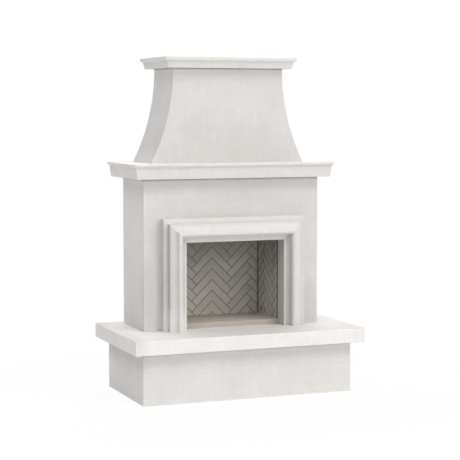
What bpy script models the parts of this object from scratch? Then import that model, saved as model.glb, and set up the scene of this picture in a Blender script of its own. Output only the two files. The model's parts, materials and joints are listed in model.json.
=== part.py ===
"""Outdoor fireplace: cast shells, herringbone firebox, throat damper and flue. Metres, +Z up."""
import bpy
import bmesh
from math import sin, cos, pi, radians, sqrt
from mathutils import Vector

# Clearances
seat = 0.0003            # gap between pieces that touch
mitre_gap = 0.0005       # gap measured upright at the moulding's mitres
overrun = 0.010          # how far a cutter runs past the face it opens

# Cast concrete shells
base_width = 1.518
base_depth = 0.773
base_height = 0.350
shell_wall = 0.025
hearth_overhang = 0.0755
hearth_thickness = 0.097
hearth_skin = 0.030
body_width = 1.295
body_depth = 0.4576
body_height = 1.0395
front_wall = 0.043
opening_width = 0.724
opening_height = 0.605

# Mantel shelf, from the underside up
mantel_height = 0.1017
mantel_overhang = 0.089
mantel_foot_overhang = 0.066
mantel_waist_overhang = 0.074
mantel_fillet_height = 0.016
mantel_cavetto_height = 0.026
mantel_hole_width = 0.800
mantel_hole_depth = 0.290

# Chimney shroud and cap
chimney_base_width = 1.135
chimney_top_width = 0.811
chimney_depth = 0.402
chimney_height = 0.6522
chimney_back_offset = 0.022
cap_height = 0.074
cap_overhang = 0.079
cap_foot_overhang = 0.053
cap_waist_overhang = 0.061
cap_fillet_height = 0.022
cap_cove_height = 0.017
cap_hole_width = 0.390
cap_hole_depth = 0.334
cap_ledge_width = 0.020
cap_ledge_height = 0.012

# Moulding round the fire opening: distances out from the opening (reach) and forward of the wall (rise)
moulding_reach = 0.163
moulding_step_reach = 0.129
moulding_cove_reach = 0.0755
moulding_bead_reach = 0.062
moulding_ovolo_reach = 0.038
moulding_fillet_reach = 0.0155
moulding_outer_rise = 0.0555
moulding_step_rise = 0.089
moulding_cove_rise = 0.110
moulding_bead_rise = 0.118
moulding_ovolo_rise = 0.088
moulding_fillet_rise = 0.065

# Firebox
floor_thickness = 0.035
floor_setback = 0.025
panel_thickness = 0.026
panel_lap = 0.004
brick_width = 0.0555
brick_length = 0.221
groove_width = 0.0045
groove_depth = 0.003
back_point_height = 0.055
back_brick_overrun = 0.041      # past the middle, before the bricks are cut there
side_peak_height = 0.072
side_peak_from_back = 0.135
retainer_depth = 0.014
retainer_reveal = 0.002
sheet = 0.0024
lintel_leg = 0.044
lintel_thickness = 0.005
plug_radius = 0.016
plug_length = 0.021
plug_height = 0.072
plug_from_back = 0.053

# Throat, damper and smoke chamber
throat_width = 0.500
throat_depth = 0.240
dome_height = 0.100
frame_thickness = 0.012
frame_opening_width = 0.420
frame_opening_front = 0.085
frame_opening_back = 0.075
chamber_straight = 0.175
chamber_taper = 0.060
damper_plate_width = 0.430
damper_plate_depth = 0.170
damper_plate_thickness = 0.004
damper_axis_offset = 0.088
rod_radius = 0.005
rod_clearance = 0.0003
rod_end = 0.006
bracket_thickness = 0.006
bracket_width = 0.024
bracket_height = 0.018
handle_radius = 0.004
handle_length = 0.100
handle_from_axis = 0.060
hook_radius = 0.014

# Flue
flue_radius = 0.127
flue_sheet = 0.0012
casing_gap = 0.010
flue_from_back = 0.202
flue_stand = 0.010
anchor_plate_lap = 0.008
support_plate_margin = 0.030
plate_thickness = 0.003

# Spark arrestor in the cap
arrestor_margin = 0.006
arrestor_frame_height = 0.015
arrestor_frame_width = 0.012
mesh_wire = 0.003
mesh_columns = 18
mesh_rows = 15

# Steel frames, pins and studs
tube_size = 0.040
tube_wall = 0.003
pin_radius = 0.005
pin_length = 0.060
shroud_pin_spacing = 0.800
cap_pin_spacing = 0.500
stud_radius = 0.004
stud_length = 0.054
header_stud_spacing = 0.500
jamb_stud_height = 0.300

# Curve resolution
arc_steps = 5
shroud_steps = 16
round_sides = 24
pin_sides = 12
hook_steps = 8

# Levels, worked out from the ground up
hearth_bottom = base_height + seat
hearth_top = hearth_bottom + hearth_thickness
body_bottom = hearth_top + seat
body_top = body_bottom + body_height
mantel_bottom = body_top + seat
mantel_top = mantel_bottom + mantel_height
shroud_bottom = mantel_top + seat
shroud_top = shroud_bottom + chimney_height
cap_bottom = shroud_top + seat
opening_top = body_bottom + opening_height

# Places from front to back, with the whole part centred on Y = 0
back_reach = max(hearth_overhang, mantel_overhang, chimney_back_offset + cap_overhang)
object_depth = hearth_overhang + base_depth + back_reach
base_front = hearth_overhang - object_depth / 2
base_back = base_front + base_depth
base_middle = (base_front + base_back) / 2
body_back = base_back
body_front = body_back - body_depth
body_middle = (body_front + body_back) / 2
chimney_back = body_back + chimney_back_offset
chimney_front = chimney_back - chimney_depth
chimney_middle = (chimney_front + chimney_back) / 2
cavity_front = body_front + front_wall
cavity_back = body_back - shell_wall
flue_y = body_back - flue_from_back

# Firebox levels and planes
firebox_half = opening_width / 2
firebox_front = cavity_front + seat
firebox_outer_half = firebox_half + panel_thickness + seat + sheet
firebox_outer_back = cavity_back - seat
back_panel_back = firebox_outer_back - sheet - seat
back_panel_front = back_panel_back - panel_thickness
panel_top = opening_top + panel_lap
lintel_bottom = panel_top + seat
firebox_top = lintel_bottom + lintel_leg
dome_bottom = firebox_top + seat
dome_top = dome_bottom + dome_height
frame_bottom = dome_top + seat
frame_top = frame_bottom + frame_thickness
chamber_bottom = frame_top + seat
hood_bottom = chamber_bottom + chamber_straight + seat
hood_top = hood_bottom + chamber_taper
anchor_half = flue_radius + anchor_plate_lap
anchor_top = hood_top + seat + plate_thickness
damper_axis_y = flue_y + damper_axis_offset
damper_axis_z = frame_top + seat + rod_radius
cap_ledge = cap_bottom + cap_ledge_height
flashing_top = cap_ledge + seat + plate_thickness
pocket_half = base_width / 2 - shell_wall
pocket_depth = base_depth / 2 - shell_wall

colours = {
    "cast_concrete": ((0.72, 0.70, 0.67), 0.88, 0.0),
    "firebrick": ((0.22, 0.20, 0.175), 0.92, 0.0),
    "hearth_tile": ((0.40, 0.35, 0.30), 0.85, 0.0),
    "blackened_steel": ((0.045, 0.042, 0.040), 0.60, 0.6),
    "galvanised_steel": ((0.50, 0.51, 0.52), 0.45, 0.9),
    "primed_steel": ((0.10, 0.10, 0.11), 0.55, 0.3),
    "pin_steel": ((0.42, 0.41, 0.40), 0.35, 1.0),
}


def get_material(name):
    """Return the named Principled material, made on first use."""
    material = bpy.data.materials.get(name)
    if material is None:
        colour, roughness, metallic = colours[name]
        material = bpy.data.materials.new(name)
        material.use_nodes = True
        shader = material.node_tree.nodes["Principled BSDF"]
        shader.inputs["Base Color"].default_value = (*colour, 1.0)
        shader.inputs["Roughness"].default_value = roughness
        shader.inputs["Metallic"].default_value = metallic
    return material


def add_object(name, bm, material, location=(0, 0, 0), rotation=(0, 0, 0), smooth=False):
    """Turn a bmesh into a placed object with one material."""
    mesh = bpy.data.meshes.new(name)
    bm.to_mesh(mesh)
    bm.free()
    if smooth:
        mesh.shade_smooth()
        mesh.set_sharp_from_angle(angle=radians(30))
    obj = bpy.data.objects.new(name, mesh)
    obj.location = location
    obj.rotation_euler = rotation
    if material:
        mesh.materials.append(get_material(material))
    bpy.context.scene.collection.objects.link(obj)
    return obj


def rect_loop(half_x, half_y, z, centre_y=0, per_side=1):
    """Rectangle seen from above, anticlockwise from its front left corner."""
    corners = [(-half_x, -half_y), (half_x, -half_y), (half_x, half_y), (-half_x, half_y)]
    points = []
    for k in range(4):
        x0, y0 = corners[k]
        x1, y1 = corners[(k + 1) % 4]
        for j in range(per_side):
            t = j / per_side
            points.append(Vector((x0 + (x1 - x0) * t, y0 + (y1 - y0) * t + centre_y, z)))
    return points


def round_loop(radius, z, sides=round_sides, centre_y=0):
    """Circle seen from above, anticlockwise from the same corner as rect_loop."""
    points = []
    for k in range(sides):
        angle = 1.25 * pi + 2 * pi * k / sides
        points.append(Vector((radius * cos(angle), radius * sin(angle) + centre_y, z)))
    return points


def add_rows(bm, loops):
    return [[bm.verts.new(point) for point in loop] for loop in loops]


def bridge_rows(bm, low, high, inward=False):
    """Join two rows of vertices with quads that face out, or in."""
    count = len(low)
    for i in range(count):
        j = (i + 1) % count
        face = (low[i], low[j], high[j], high[i])
        bm.faces.new(face[::-1] if inward else face)


def ring_body(name, material, outer, inner, **place):
    """Closed wall between an outer and an inner stack of loops, open through the middle."""
    bm = bmesh.new()
    outside = add_rows(bm, outer)
    inside = add_rows(bm, inner)
    for low, high in zip(outside, outside[1:]):
        bridge_rows(bm, low, high)
    for low, high in zip(inside, inside[1:]):
        bridge_rows(bm, low, high, inward=True)
    bridge_rows(bm, inside[0], outside[0])
    bridge_rows(bm, outside[-1], inside[-1])
    return add_object(name, bm, material, **place)


def stack_body(name, material, loops, **place):
    """Closed solid through a stack of loops, capped at both ends."""
    bm = bmesh.new()
    rows = add_rows(bm, loops)
    for low, high in zip(rows, rows[1:]):
        bridge_rows(bm, low, high)
    bm.faces.new(rows[0][::-1])
    bm.faces.new(rows[-1])
    return add_object(name, bm, material, **place)


def box_body(name, material, low, high, **place):
    """Box between two corners."""
    bm = bmesh.new()
    bmesh.ops.create_cube(bm, size=1)
    for vert in bm.verts:
        for axis in range(3):
            vert.co[axis] = high[axis] if vert.co[axis] > 0 else low[axis]
    return add_object(name, bm, material, **place)


def bar_body(name, material, profile, length, **place):
    """Outline in local X and Y, extruded along local Z from zero."""
    low = [Vector((x, y, 0)) for x, y in profile]
    high = [Vector((x, y, length)) for x, y in profile]
    return stack_body(name, material, [low, high], **place)


def square_tube(name, length, location, rotation=(0, 0, 0)):
    """Open-ended square steel tube with its length along local Z."""
    half = tube_size / 2
    bore = half - tube_wall
    outer = [rect_loop(half, half, 0), rect_loop(half, half, length)]
    inner = [rect_loop(bore, bore, 0), rect_loop(bore, bore, length)]
    return ring_body(name, "primed_steel", outer, inner, location=location, rotation=rotation)


def apply_cut(target, cutter, operation="DIFFERENCE"):
    """Hide the cutter from renders and use it on the target."""
    cutter.hide_render = True
    cutter.display_type = "WIRE"
    modifier = target.modifiers.new(cutter.name, "BOOLEAN")
    modifier.operation = operation
    modifier.solver = "EXACT"
    modifier.object = cutter


def drill(target, radius, start, end, axis="Z", sides=pin_sides):
    """Cut a round hole in the target between two points on one axis."""
    length = (Vector(end) - Vector(start)).length
    turn = {"Z": (0, 0, 0), "Y": (-pi / 2, 0, 0), "X": (0, pi / 2, 0)}[axis]
    loops = [round_loop(radius, 0, sides), round_loop(radius, length, sides)]
    cutter = stack_body("cut_" + target.name, None, loops, location=start, rotation=turn)
    apply_cut(target, cutter)


def round_bar(name, material, radius, start, length, axis="Z", sides=pin_sides):
    """Plain round pin or rod that starts at a point and runs along one axis."""
    turn = {"Z": (0, 0, 0), "Y": (-pi / 2, 0, 0), "X": (0, pi / 2, 0)}[axis]
    loops = [round_loop(radius, 0, sides), round_loop(radius, length, sides)]
    return stack_body(name, material, loops, location=start, rotation=turn, smooth=True)


def quarter(centre, radii, start, end, steps=arc_steps):
    """Points on an ellipse about a centre, from one angle to another, in degrees."""
    points = []
    for k in range(steps + 1):
        angle = radians(start + (end - start) * k / steps)
        points.append((centre[0] + radii[0] * cos(angle), centre[1] + radii[1] * sin(angle)))
    return points


# Cast shells

def make_base_plinth():
    half_x = base_width / 2
    half_y = base_depth / 2
    outer = [rect_loop(half_x, half_y, 0), rect_loop(half_x, half_y, base_height)]
    inner = [rect_loop(pocket_half, pocket_depth, 0), rect_loop(pocket_half, pocket_depth, base_height)]
    ring_body("base_plinth", "cast_concrete", outer, inner, location=(0, base_middle, 0))


def make_hearth_slab():
    """Slab with a shallow well in its underside, over the plinth's hollow."""
    half_x = base_width / 2 + hearth_overhang
    half_y = base_depth / 2 + hearth_overhang
    well_top = hearth_thickness - hearth_skin
    loops = [rect_loop(half_x, half_y, 0), rect_loop(half_x, half_y, hearth_thickness)]
    bm = bmesh.new()
    outside = add_rows(bm, loops)
    well = add_rows(bm, [rect_loop(pocket_half, pocket_depth, 0), rect_loop(pocket_half, pocket_depth, well_top)])
    bridge_rows(bm, *outside)
    bm.faces.new(outside[1])
    bridge_rows(bm, well[0], outside[0])
    bridge_rows(bm, *well, inward=True)
    bm.faces.new(well[1][::-1])
    add_object("hearth_slab", bm, "cast_concrete", location=(0, base_middle, hearth_bottom))


def make_body_shell():
    """Four walls open at the top and bottom, with the fire opening in the front one."""
    half_x = body_width / 2
    cavity_half = half_x - shell_wall
    cavity_middle = (cavity_front + cavity_back) / 2 - body_middle
    cavity_reach = (cavity_back - cavity_front) / 2
    outer = [rect_loop(half_x, body_depth / 2, z) for z in (0, body_height)]
    inner = [rect_loop(cavity_half, cavity_reach, z, cavity_middle) for z in (0, body_height)]
    body = ring_body("body_shell", "cast_concrete", outer, inner, location=(0, body_middle, body_bottom))
    low = (-firebox_half, body_front - overrun, body_bottom - overrun)
    high = (firebox_half, cavity_front + overrun, opening_top)
    apply_cut(body, box_body("cut_fire_opening", None, low, high))
    return body


def mantel_profile():
    """Overhang and height pairs up the mantel's face."""
    waist = mantel_height - mantel_fillet_height - mantel_cavetto_height
    radii = (mantel_overhang - mantel_waist_overhang, mantel_cavetto_height)
    cavetto = quarter((mantel_overhang, waist), radii, 180, 90)
    return [(mantel_foot_overhang, 0)] + cavetto + [(mantel_overhang, mantel_height)]


def make_mantel_shelf():
    outer = [rect_loop(body_width / 2 + out, body_depth / 2 + out, z) for out, z in mantel_profile()]
    hole_y = flue_y - body_middle
    hole = [rect_loop(mantel_hole_width / 2, mantel_hole_depth / 2, z, hole_y) for z in (0, mantel_height)]
    place = (0, body_middle, mantel_bottom)
    return ring_body("mantel_shelf", "cast_concrete", outer, hole, location=place)


def shroud_half_width(z):
    """Half the shroud's width at a height: an arc that ends upright under the cap."""
    spread = (chimney_base_width - chimney_top_width) / 2
    radius = (chimney_height ** 2 + spread ** 2) / (2 * spread)
    return chimney_top_width / 2 + radius - sqrt(radius ** 2 - (chimney_height - z) ** 2)


def make_chimney_shroud():
    heights = [chimney_height * k / shroud_steps for k in range(shroud_steps + 1)]
    outer = [rect_loop(shroud_half_width(z), chimney_depth / 2, z) for z in heights]
    bore_y = chimney_depth / 2 - shell_wall
    inner = [rect_loop(shroud_half_width(z) - shell_wall, bore_y, z) for z in heights]
    place = (0, chimney_middle, shroud_bottom)
    return ring_body("chimney_shroud", "cast_concrete", outer, inner, location=place)


def cap_profile():
    """Overhang and height pairs up the cap's face."""
    fillet = cap_height - cap_fillet_height
    waist = fillet - cap_cove_height
    radii = (cap_overhang - cap_waist_overhang, cap_cove_height)
    cove = quarter((cap_overhang, waist), radii, 180, 90)
    return [(cap_foot_overhang, 0)] + cove + [(cap_overhang, cap_height)]


def make_chimney_cap():
    """Cap with a stepped opening: the ledge in it carries the flashing."""
    outer = [rect_loop(chimney_top_width / 2 + out, chimney_depth / 2 + out, z) for out, z in cap_profile()]
    half_x = cap_hole_width / 2
    half_y = cap_hole_depth / 2
    inner = [
        rect_loop(half_x, half_y, 0),
        rect_loop(half_x, half_y, cap_ledge_height),
        rect_loop(half_x + cap_ledge_width, half_y + cap_ledge_width, cap_ledge_height),
        rect_loop(half_x + cap_ledge_width, half_y + cap_ledge_width, cap_height),
    ]
    place = (0, chimney_middle, cap_bottom)
    return ring_body("chimney_cap", "cast_concrete", outer, inner, location=place)


# Moulding round the fire opening

def moulding_profile():
    """Reach and rise pairs from the opening's edge outwards."""
    cove = quarter(
        (moulding_fillet_reach, moulding_ovolo_rise),
        (moulding_ovolo_reach - moulding_fillet_reach, moulding_ovolo_rise - moulding_fillet_rise),
        -90, 0)
    ovolo = quarter(
        (moulding_bead_reach, moulding_ovolo_rise),
        (moulding_bead_reach - moulding_ovolo_reach, moulding_bead_rise - moulding_ovolo_rise),
        180, 90)
    bead = quarter(
        (moulding_bead_reach, moulding_cove_rise),
        (moulding_cove_reach - moulding_bead_reach, moulding_bead_rise - moulding_cove_rise),
        90, 0)
    outer_cove = quarter(
        (moulding_step_reach, moulding_cove_rise),
        (moulding_step_reach - moulding_cove_reach, moulding_cove_rise - moulding_step_rise),
        180, 270)
    steps = [
        (moulding_step_reach, moulding_outer_rise),
        (moulding_reach, moulding_outer_rise),
        (moulding_reach, 0),
    ]
    return [(0, 0), (0, moulding_fillet_rise)] + cove + ovolo[1:] + bead[1:] + outer_cove[1:] + steps


def make_moulding():
    """Two jambs that stand on the hearth and a header mitred to them."""
    profile = moulding_profile()
    wall = body_front - seat
    pieces = {}
    for side, sign in (("left", -1), ("right", 1)):
        foot = [Vector((sign * (firebox_half + s), wall - t, 0)) for s, t in profile]
        head = [Vector((sign * (firebox_half + s), wall - t, opening_height + s - mitre_gap)) for s, t in profile]
        loops = [foot, head]
        if sign > 0:
            loops = [loop[::-1] for loop in loops]
        name = "moulding_" + side
        pieces[side] = stack_body(name, "cast_concrete", loops, location=(0, 0, body_bottom))
    ends = [[Vector((x * (firebox_half + s), wall - t, s)) for s, t in profile] for x in (-1, 1)]
    header = stack_body("moulding_header", "cast_concrete", ends[::-1], location=(0, 0, opening_top))
    pieces["header"] = header
    return pieces


# Firebox

def clip_polygon(points, low, high):
    """Cut a convex outline to the rectangle between two corners."""
    for axis in range(2):
        for bound, sign in ((low[axis], 1), (high[axis], -1)):
            kept = []
            for k, here in enumerate(points):
                last = points[k - 1]
                here_in = sign * (here[axis] - bound)
                last_in = sign * (last[axis] - bound)
                if (here_in > 0) != (last_in > 0):
                    t = last_in / (last_in - here_in)
                    cut = [last[0] + (here[0] - last[0]) * t, last[1] + (here[1] - last[1]) * t]
                    cut[axis] = bound
                    kept.append(tuple(cut))
                if here_in > 0:
                    kept.append(here)
            points = kept
            if not points:
                return []
    return points


def outline_area(points):
    total = 0
    for k, (x, y) in enumerate(points):
        total += points[k - 1][0] * y - x * points[k - 1][1]
    return abs(total) / 2


def panel_face(width, height):
    """Corners of the rectangle that lies half a groove inside a panel's outline."""
    inset = groove_width / 2
    return (inset, inset), (width - inset, height - inset)


def herringbone(low, high, peak_x, peak_z):
    """Brick faces of a 45 degree herringbone, cut to a rectangle, with half a groove round each.

    One row of chevrons has its points at peak_x, and one of those points is at peak_z.
    """
    inset = groove_width / 2
    columns = int(high[0] / (sqrt(2) * brick_length)) + 3
    rows = int(high[1] / (sqrt(2) * brick_width)) + int(brick_length / brick_width) + 4
    faces = []
    for column in range(-columns, columns + 1):
        for row in range(-rows, rows + 1):
            along = column * brick_length - row * brick_width
            across = column * brick_length + row * brick_width
            rising = (along - brick_length - brick_width, along - brick_width, across, across + brick_width)
            falling = (along - brick_width, along, across, across + brick_length)
            for a0, a1, b0, b1 in (rising, falling):
                corners = [(a0 + inset, b0 + inset), (a1 - inset, b0 + inset),
                           (a1 - inset, b1 - inset), (a0 + inset, b1 - inset)]
                turned = [(peak_x + (a + b) / sqrt(2), peak_z + (a - b) / sqrt(2)) for a, b in corners]
                face = clip_polygon(turned, low, high)
                if len(face) > 2 and outline_area(face) > groove_width * brick_width / 2:
                    faces.append(face)
    return faces


def mirrored_herringbone(width, height, point_z):
    """A herringbone on the left half of a panel and its mirror image on the right half.

    The rising bricks at the middle are cut there and run on into their mirror images, as one bent
    brick with its point at point_z or a whole number of rows from it.
    """
    low, high = panel_face(width, height)
    middle = width / 2
    peak = (middle + back_brick_overrun, point_z + back_brick_overrun)
    faces = []
    for face in herringbone(low, (middle, high[1]), *peak):
        on_middle = [k for k, (x, z) in enumerate(face) if x == middle and face[k - 1][0] == middle]
        if on_middle:
            turned = face[on_middle[0]:] + face[:on_middle[0]]
            faces.append(turned + [(width - x, z) for x, z in turned[-2:0:-1]])
        else:
            faces += [face, [(width - x, z) for x, z in face[::-1]]]
    return faces


def brick_panel(name, width, height, faces, location, rotation):
    """Panel with its brick face towards local -Y, its lower left corner at the origin."""
    bed = box_body(name, "firebrick", (0, groove_depth, 0), (width, panel_thickness, height),
                   location=location, rotation=rotation)
    bm = bmesh.new()
    sink = (panel_thickness - groove_depth) / 4
    for face in faces:
        front = [bm.verts.new((x, 0, z)) for x, z in face]
        back = [bm.verts.new((x, groove_depth + sink, z)) for x, z in face]
        bm.faces.new(front)
        bm.faces.new(back[::-1])
        bridge_rows(bm, front, back, inward=True)
    bmesh.ops.recalc_face_normals(bm, faces=bm.faces[:])
    bricks = add_object(name + "_bricks", bm, None, location=location, rotation=rotation)
    apply_cut(bed, bricks, "UNION")
    return bed


def make_firebox_lining():
    panel_height = panel_top - body_bottom
    back_width = 2 * (firebox_half + panel_thickness)
    faces = mirrored_herringbone(back_width, panel_height, back_point_height)
    brick_panel("firebox_back_panel", back_width, panel_height, faces,
                (-back_width / 2, back_panel_front, body_bottom), (0, 0, 0))
    side_front = firebox_front + retainer_depth + seat
    side_back = back_panel_front - seat
    side_width = side_back - side_front
    low, high = panel_face(side_width, panel_height)
    faces = herringbone(low, high, side_peak_from_back, side_peak_height)
    right = brick_panel("firebox_right_panel", side_width, panel_height, faces,
                        (firebox_half, side_back, body_bottom), (0, 0, -pi / 2))
    faces = herringbone(low, high, side_width - side_peak_from_back, side_peak_height)
    brick_panel("firebox_left_panel", side_width, panel_height, faces,
                (-firebox_half, side_front, body_bottom), (0, 0, pi / 2))
    plug_y = side_back - plug_from_back
    plug_z = body_bottom + plug_height
    start = firebox_half - overrun
    end = firebox_half + panel_thickness + overrun
    drill(right, plug_radius + seat, (start, plug_y, plug_z), (end, plug_y, plug_z), "X", round_sides)
    plug_start = firebox_half + panel_thickness - plug_length
    round_bar("gas_knockout_plug", "blackened_steel", plug_radius, (plug_start, plug_y, plug_z),
              plug_length, "X", round_sides)
    floor_half = firebox_half - seat
    low = (-floor_half, body_front + floor_setback, 0)
    high = (floor_half, back_panel_front - seat, floor_thickness)
    box_body("firebox_floor", "hearth_tile", low, high, location=(0, 0, body_bottom))
    for side, sign in (("left", -1), ("right", 1)):
        faces = sorted((sign * (firebox_half - retainer_reveal), sign * (firebox_half + panel_thickness)))
        start_z = floor_thickness + seat
        low = (faces[0], firebox_front, start_z)
        high = (faces[1], firebox_front + retainer_depth, panel_height)
        box_body("panel_retainer_" + side, "blackened_steel", low, high, location=(0, 0, body_bottom))


def make_firebox_shell():
    """Folded sheet behind the panels: two sides and a back."""
    half = firebox_outer_half
    outline = [
        (-half, firebox_front), (-half + sheet, firebox_front),
        (-half + sheet, firebox_outer_back - sheet), (half - sheet, firebox_outer_back - sheet),
        (half - sheet, firebox_front), (half, firebox_front),
        (half, firebox_outer_back), (-half, firebox_outer_back),
    ]
    bar_body("firebox_shell", "galvanised_steel", outline, firebox_top - body_bottom, location=(0, 0, body_bottom))


def make_lintel_angle():
    """Steel angle on the side panels' tops, its upright leg against the front wall."""
    half = firebox_half + panel_thickness
    outline = [
        (0, 0), (lintel_leg, 0), (lintel_leg, lintel_thickness),
        (lintel_thickness, lintel_thickness), (lintel_thickness, lintel_leg), (0, lintel_leg),
    ]
    bm = bmesh.new()
    rows = [[bm.verts.new((x, firebox_front + y, lintel_bottom + z)) for y, z in outline] for x in (-half, half)]
    bridge_rows(bm, *rows)
    bm.faces.new(rows[0][::-1])
    bm.faces.new(rows[1])
    add_object("lintel_angle", bm, "blackened_steel")


# Throat, damper and smoke chamber

def make_smoke_dome():
    """Tapered hood from the firebox shell up to the throat."""
    low_y = (firebox_front + firebox_outer_back) / 2
    low_reach = (firebox_outer_back - firebox_front) / 2
    half_x = throat_width / 2
    half_y = throat_depth / 2
    outer = [rect_loop(firebox_outer_half, low_reach, 0, low_y), rect_loop(half_x, half_y, dome_height, flue_y)]
    inner = [rect_loop(firebox_outer_half - sheet, low_reach - sheet, 0, low_y),
             rect_loop(half_x - sheet, half_y - sheet, dome_height, flue_y)]
    ring_body("smoke_dome", "galvanised_steel", outer, inner, location=(0, 0, dome_bottom))


def make_damper():
    """Frame and brackets that stay, and the plate, rod and handle that turn."""
    opening_middle = (frame_opening_back - frame_opening_front) / 2
    opening_reach = (frame_opening_back + frame_opening_front) / 2
    heights = (0, frame_thickness)
    outer = [rect_loop(throat_width / 2, throat_depth / 2, z) for z in heights]
    inner = [rect_loop(frame_opening_width / 2, opening_reach, z, opening_middle) for z in heights]
    ring_body("damper_frame", "blackened_steel", outer, inner, location=(0, flue_y, frame_bottom))

    bracket_inner = damper_plate_width / 2 + seat
    rod_half = bracket_inner + bracket_thickness + rod_end
    below_axis = rod_radius
    above_axis = bracket_height - below_axis
    for side, start in (("left", -bracket_inner - bracket_thickness), ("right", bracket_inner)):
        low = (0, -bracket_width / 2, -below_axis)
        high = (bracket_thickness, bracket_width / 2, above_axis)
        place = (start, damper_axis_y, damper_axis_z)
        bracket = box_body("damper_bracket_" + side, "blackened_steel", low, high, location=place)
        hole_start = (start - overrun, damper_axis_y, damper_axis_z)
        hole_end = (start + bracket_thickness + overrun, damper_axis_y, damper_axis_z)
        drill(bracket, rod_radius + rod_clearance, hole_start, hole_end, "X", round_sides)

    round_bar("damper_rod", "blackened_steel", rod_radius, (-rod_half, damper_axis_y, damper_axis_z),
              2 * rod_half, "X", round_sides)
    plate_back = rod_radius + seat
    half = damper_plate_thickness / 2
    front = plate_back + damper_plate_depth
    outline = [
        (-plate_back, -half), (-plate_back, half), (-front, half), (-front, -rod_radius),
        (-front + damper_plate_thickness, -rod_radius), (-front + damper_plate_thickness, -half),
    ]
    bm = bmesh.new()
    reach = damper_plate_width / 2
    rows = [[bm.verts.new((x, y, z)) for y, z in outline] for x in (reach, -reach)]
    bridge_rows(bm, *rows)
    bm.faces.new(rows[0][::-1])
    bm.faces.new(rows[1])
    bmesh.ops.recalc_face_normals(bm, faces=bm.faces[:])
    add_object("damper_plate", bm, "blackened_steel", location=(0, damper_axis_y, damper_axis_z))
    make_damper_handle()


def make_damper_handle():
    """Round bar that hangs from the plate and ends in a hook, its origin on the joint's axis."""
    top = -damper_plate_thickness / 2 - seat
    bottom = top - handle_length
    points = [(0, -handle_from_axis, top), (0, -handle_from_axis, bottom)]
    for k in range(1, hook_steps + 1):
        angle = pi * k / hook_steps
        x = hook_radius - hook_radius * cos(angle)
        points.append((x, -handle_from_axis, bottom - hook_radius * sin(angle)))
    curve = bpy.data.curves.new("damper_handle", "CURVE")
    curve.dimensions = "3D"
    curve.bevel_depth = handle_radius
    curve.bevel_resolution = 2
    curve.use_fill_caps = True
    spline = curve.splines.new("POLY")
    spline.points.add(len(points) - 1)
    full_weight = 1
    for point, place in zip(spline.points, points):
        point.co = (*place, full_weight)
    curve.materials.append(get_material("blackened_steel"))
    handle = bpy.data.objects.new("damper_handle", curve)
    handle.location = (0, damper_axis_y, damper_axis_z)
    bpy.context.scene.collection.objects.link(handle)


def make_smoke_chamber():
    """Rectangular box with a hood on it that narrows to the flue's anchor plate."""
    box_walls = []
    hood_walls = []
    for wall in (0, sheet):
        low = (throat_width / 2 - wall, throat_depth / 2 - wall)
        high = (anchor_half - wall, anchor_half - wall)
        box_walls.append([rect_loop(*low, z) for z in (0, chamber_straight)])
        hood_walls.append([rect_loop(*low, 0), rect_loop(*high, chamber_taper)])
    ring_body("smoke_chamber", "galvanised_steel", *box_walls, location=(0, flue_y, chamber_bottom))
    ring_body("chamber_hood", "galvanised_steel", *hood_walls, location=(0, flue_y, hood_bottom))


# Flue

def make_flue():
    """Liner on its anchor plate, with the plates and the casing round it up to the cap."""
    per_side = round_sides // 4
    bore = flue_radius - flue_sheet
    heights = (0, plate_thickness)
    ring_body("flue_anchor_plate", "galvanised_steel",
              [rect_loop(anchor_half, anchor_half, z, 0, per_side) for z in heights],
              [round_loop(bore, z) for z in heights], location=(0, flue_y, hood_top + seat), smooth=True)

    liner_bottom = anchor_top + seat
    liner_length = flashing_top + flue_stand - liner_bottom
    heights = (0, liner_length)
    ring_body("flue_liner", "galvanised_steel", [round_loop(flue_radius, z) for z in heights],
              [round_loop(bore, z) for z in heights], location=(0, flue_y, liner_bottom), smooth=True)

    hole = flue_radius + seat
    plate_bottom = mantel_top + seat
    plate_x = mantel_hole_width / 2 + support_plate_margin
    plate_y = chimney_depth / 2 - shell_wall - seat
    offset = chimney_middle - flue_y
    heights = (0, plate_thickness)
    ring_body("flue_support_plate", "galvanised_steel",
              [rect_loop(plate_x, plate_y, z, offset, per_side) for z in heights],
              [round_loop(hole, z) for z in heights], location=(0, flue_y, plate_bottom), smooth=True)

    casing_bottom = plate_bottom + plate_thickness + seat
    casing_top = cap_ledge
    casing_radius = flue_radius + casing_gap
    heights = (0, casing_top - casing_bottom)
    ring_body("flue_casing", "galvanised_steel",
              [round_loop(casing_radius + flue_sheet, z) for z in heights],
              [round_loop(casing_radius, z) for z in heights],
              location=(0, flue_y, casing_bottom), smooth=True)

    flash_x = cap_hole_width / 2 + cap_ledge_width - seat
    flash_y = cap_hole_depth / 2 + cap_ledge_width - seat
    heights = (0, plate_thickness)
    ring_body("flue_flashing", "galvanised_steel",
              [rect_loop(flash_x, flash_y, z, offset, per_side) for z in heights],
              [round_loop(hole, z) for z in heights], location=(0, flue_y, cap_ledge + seat), smooth=True)


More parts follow.
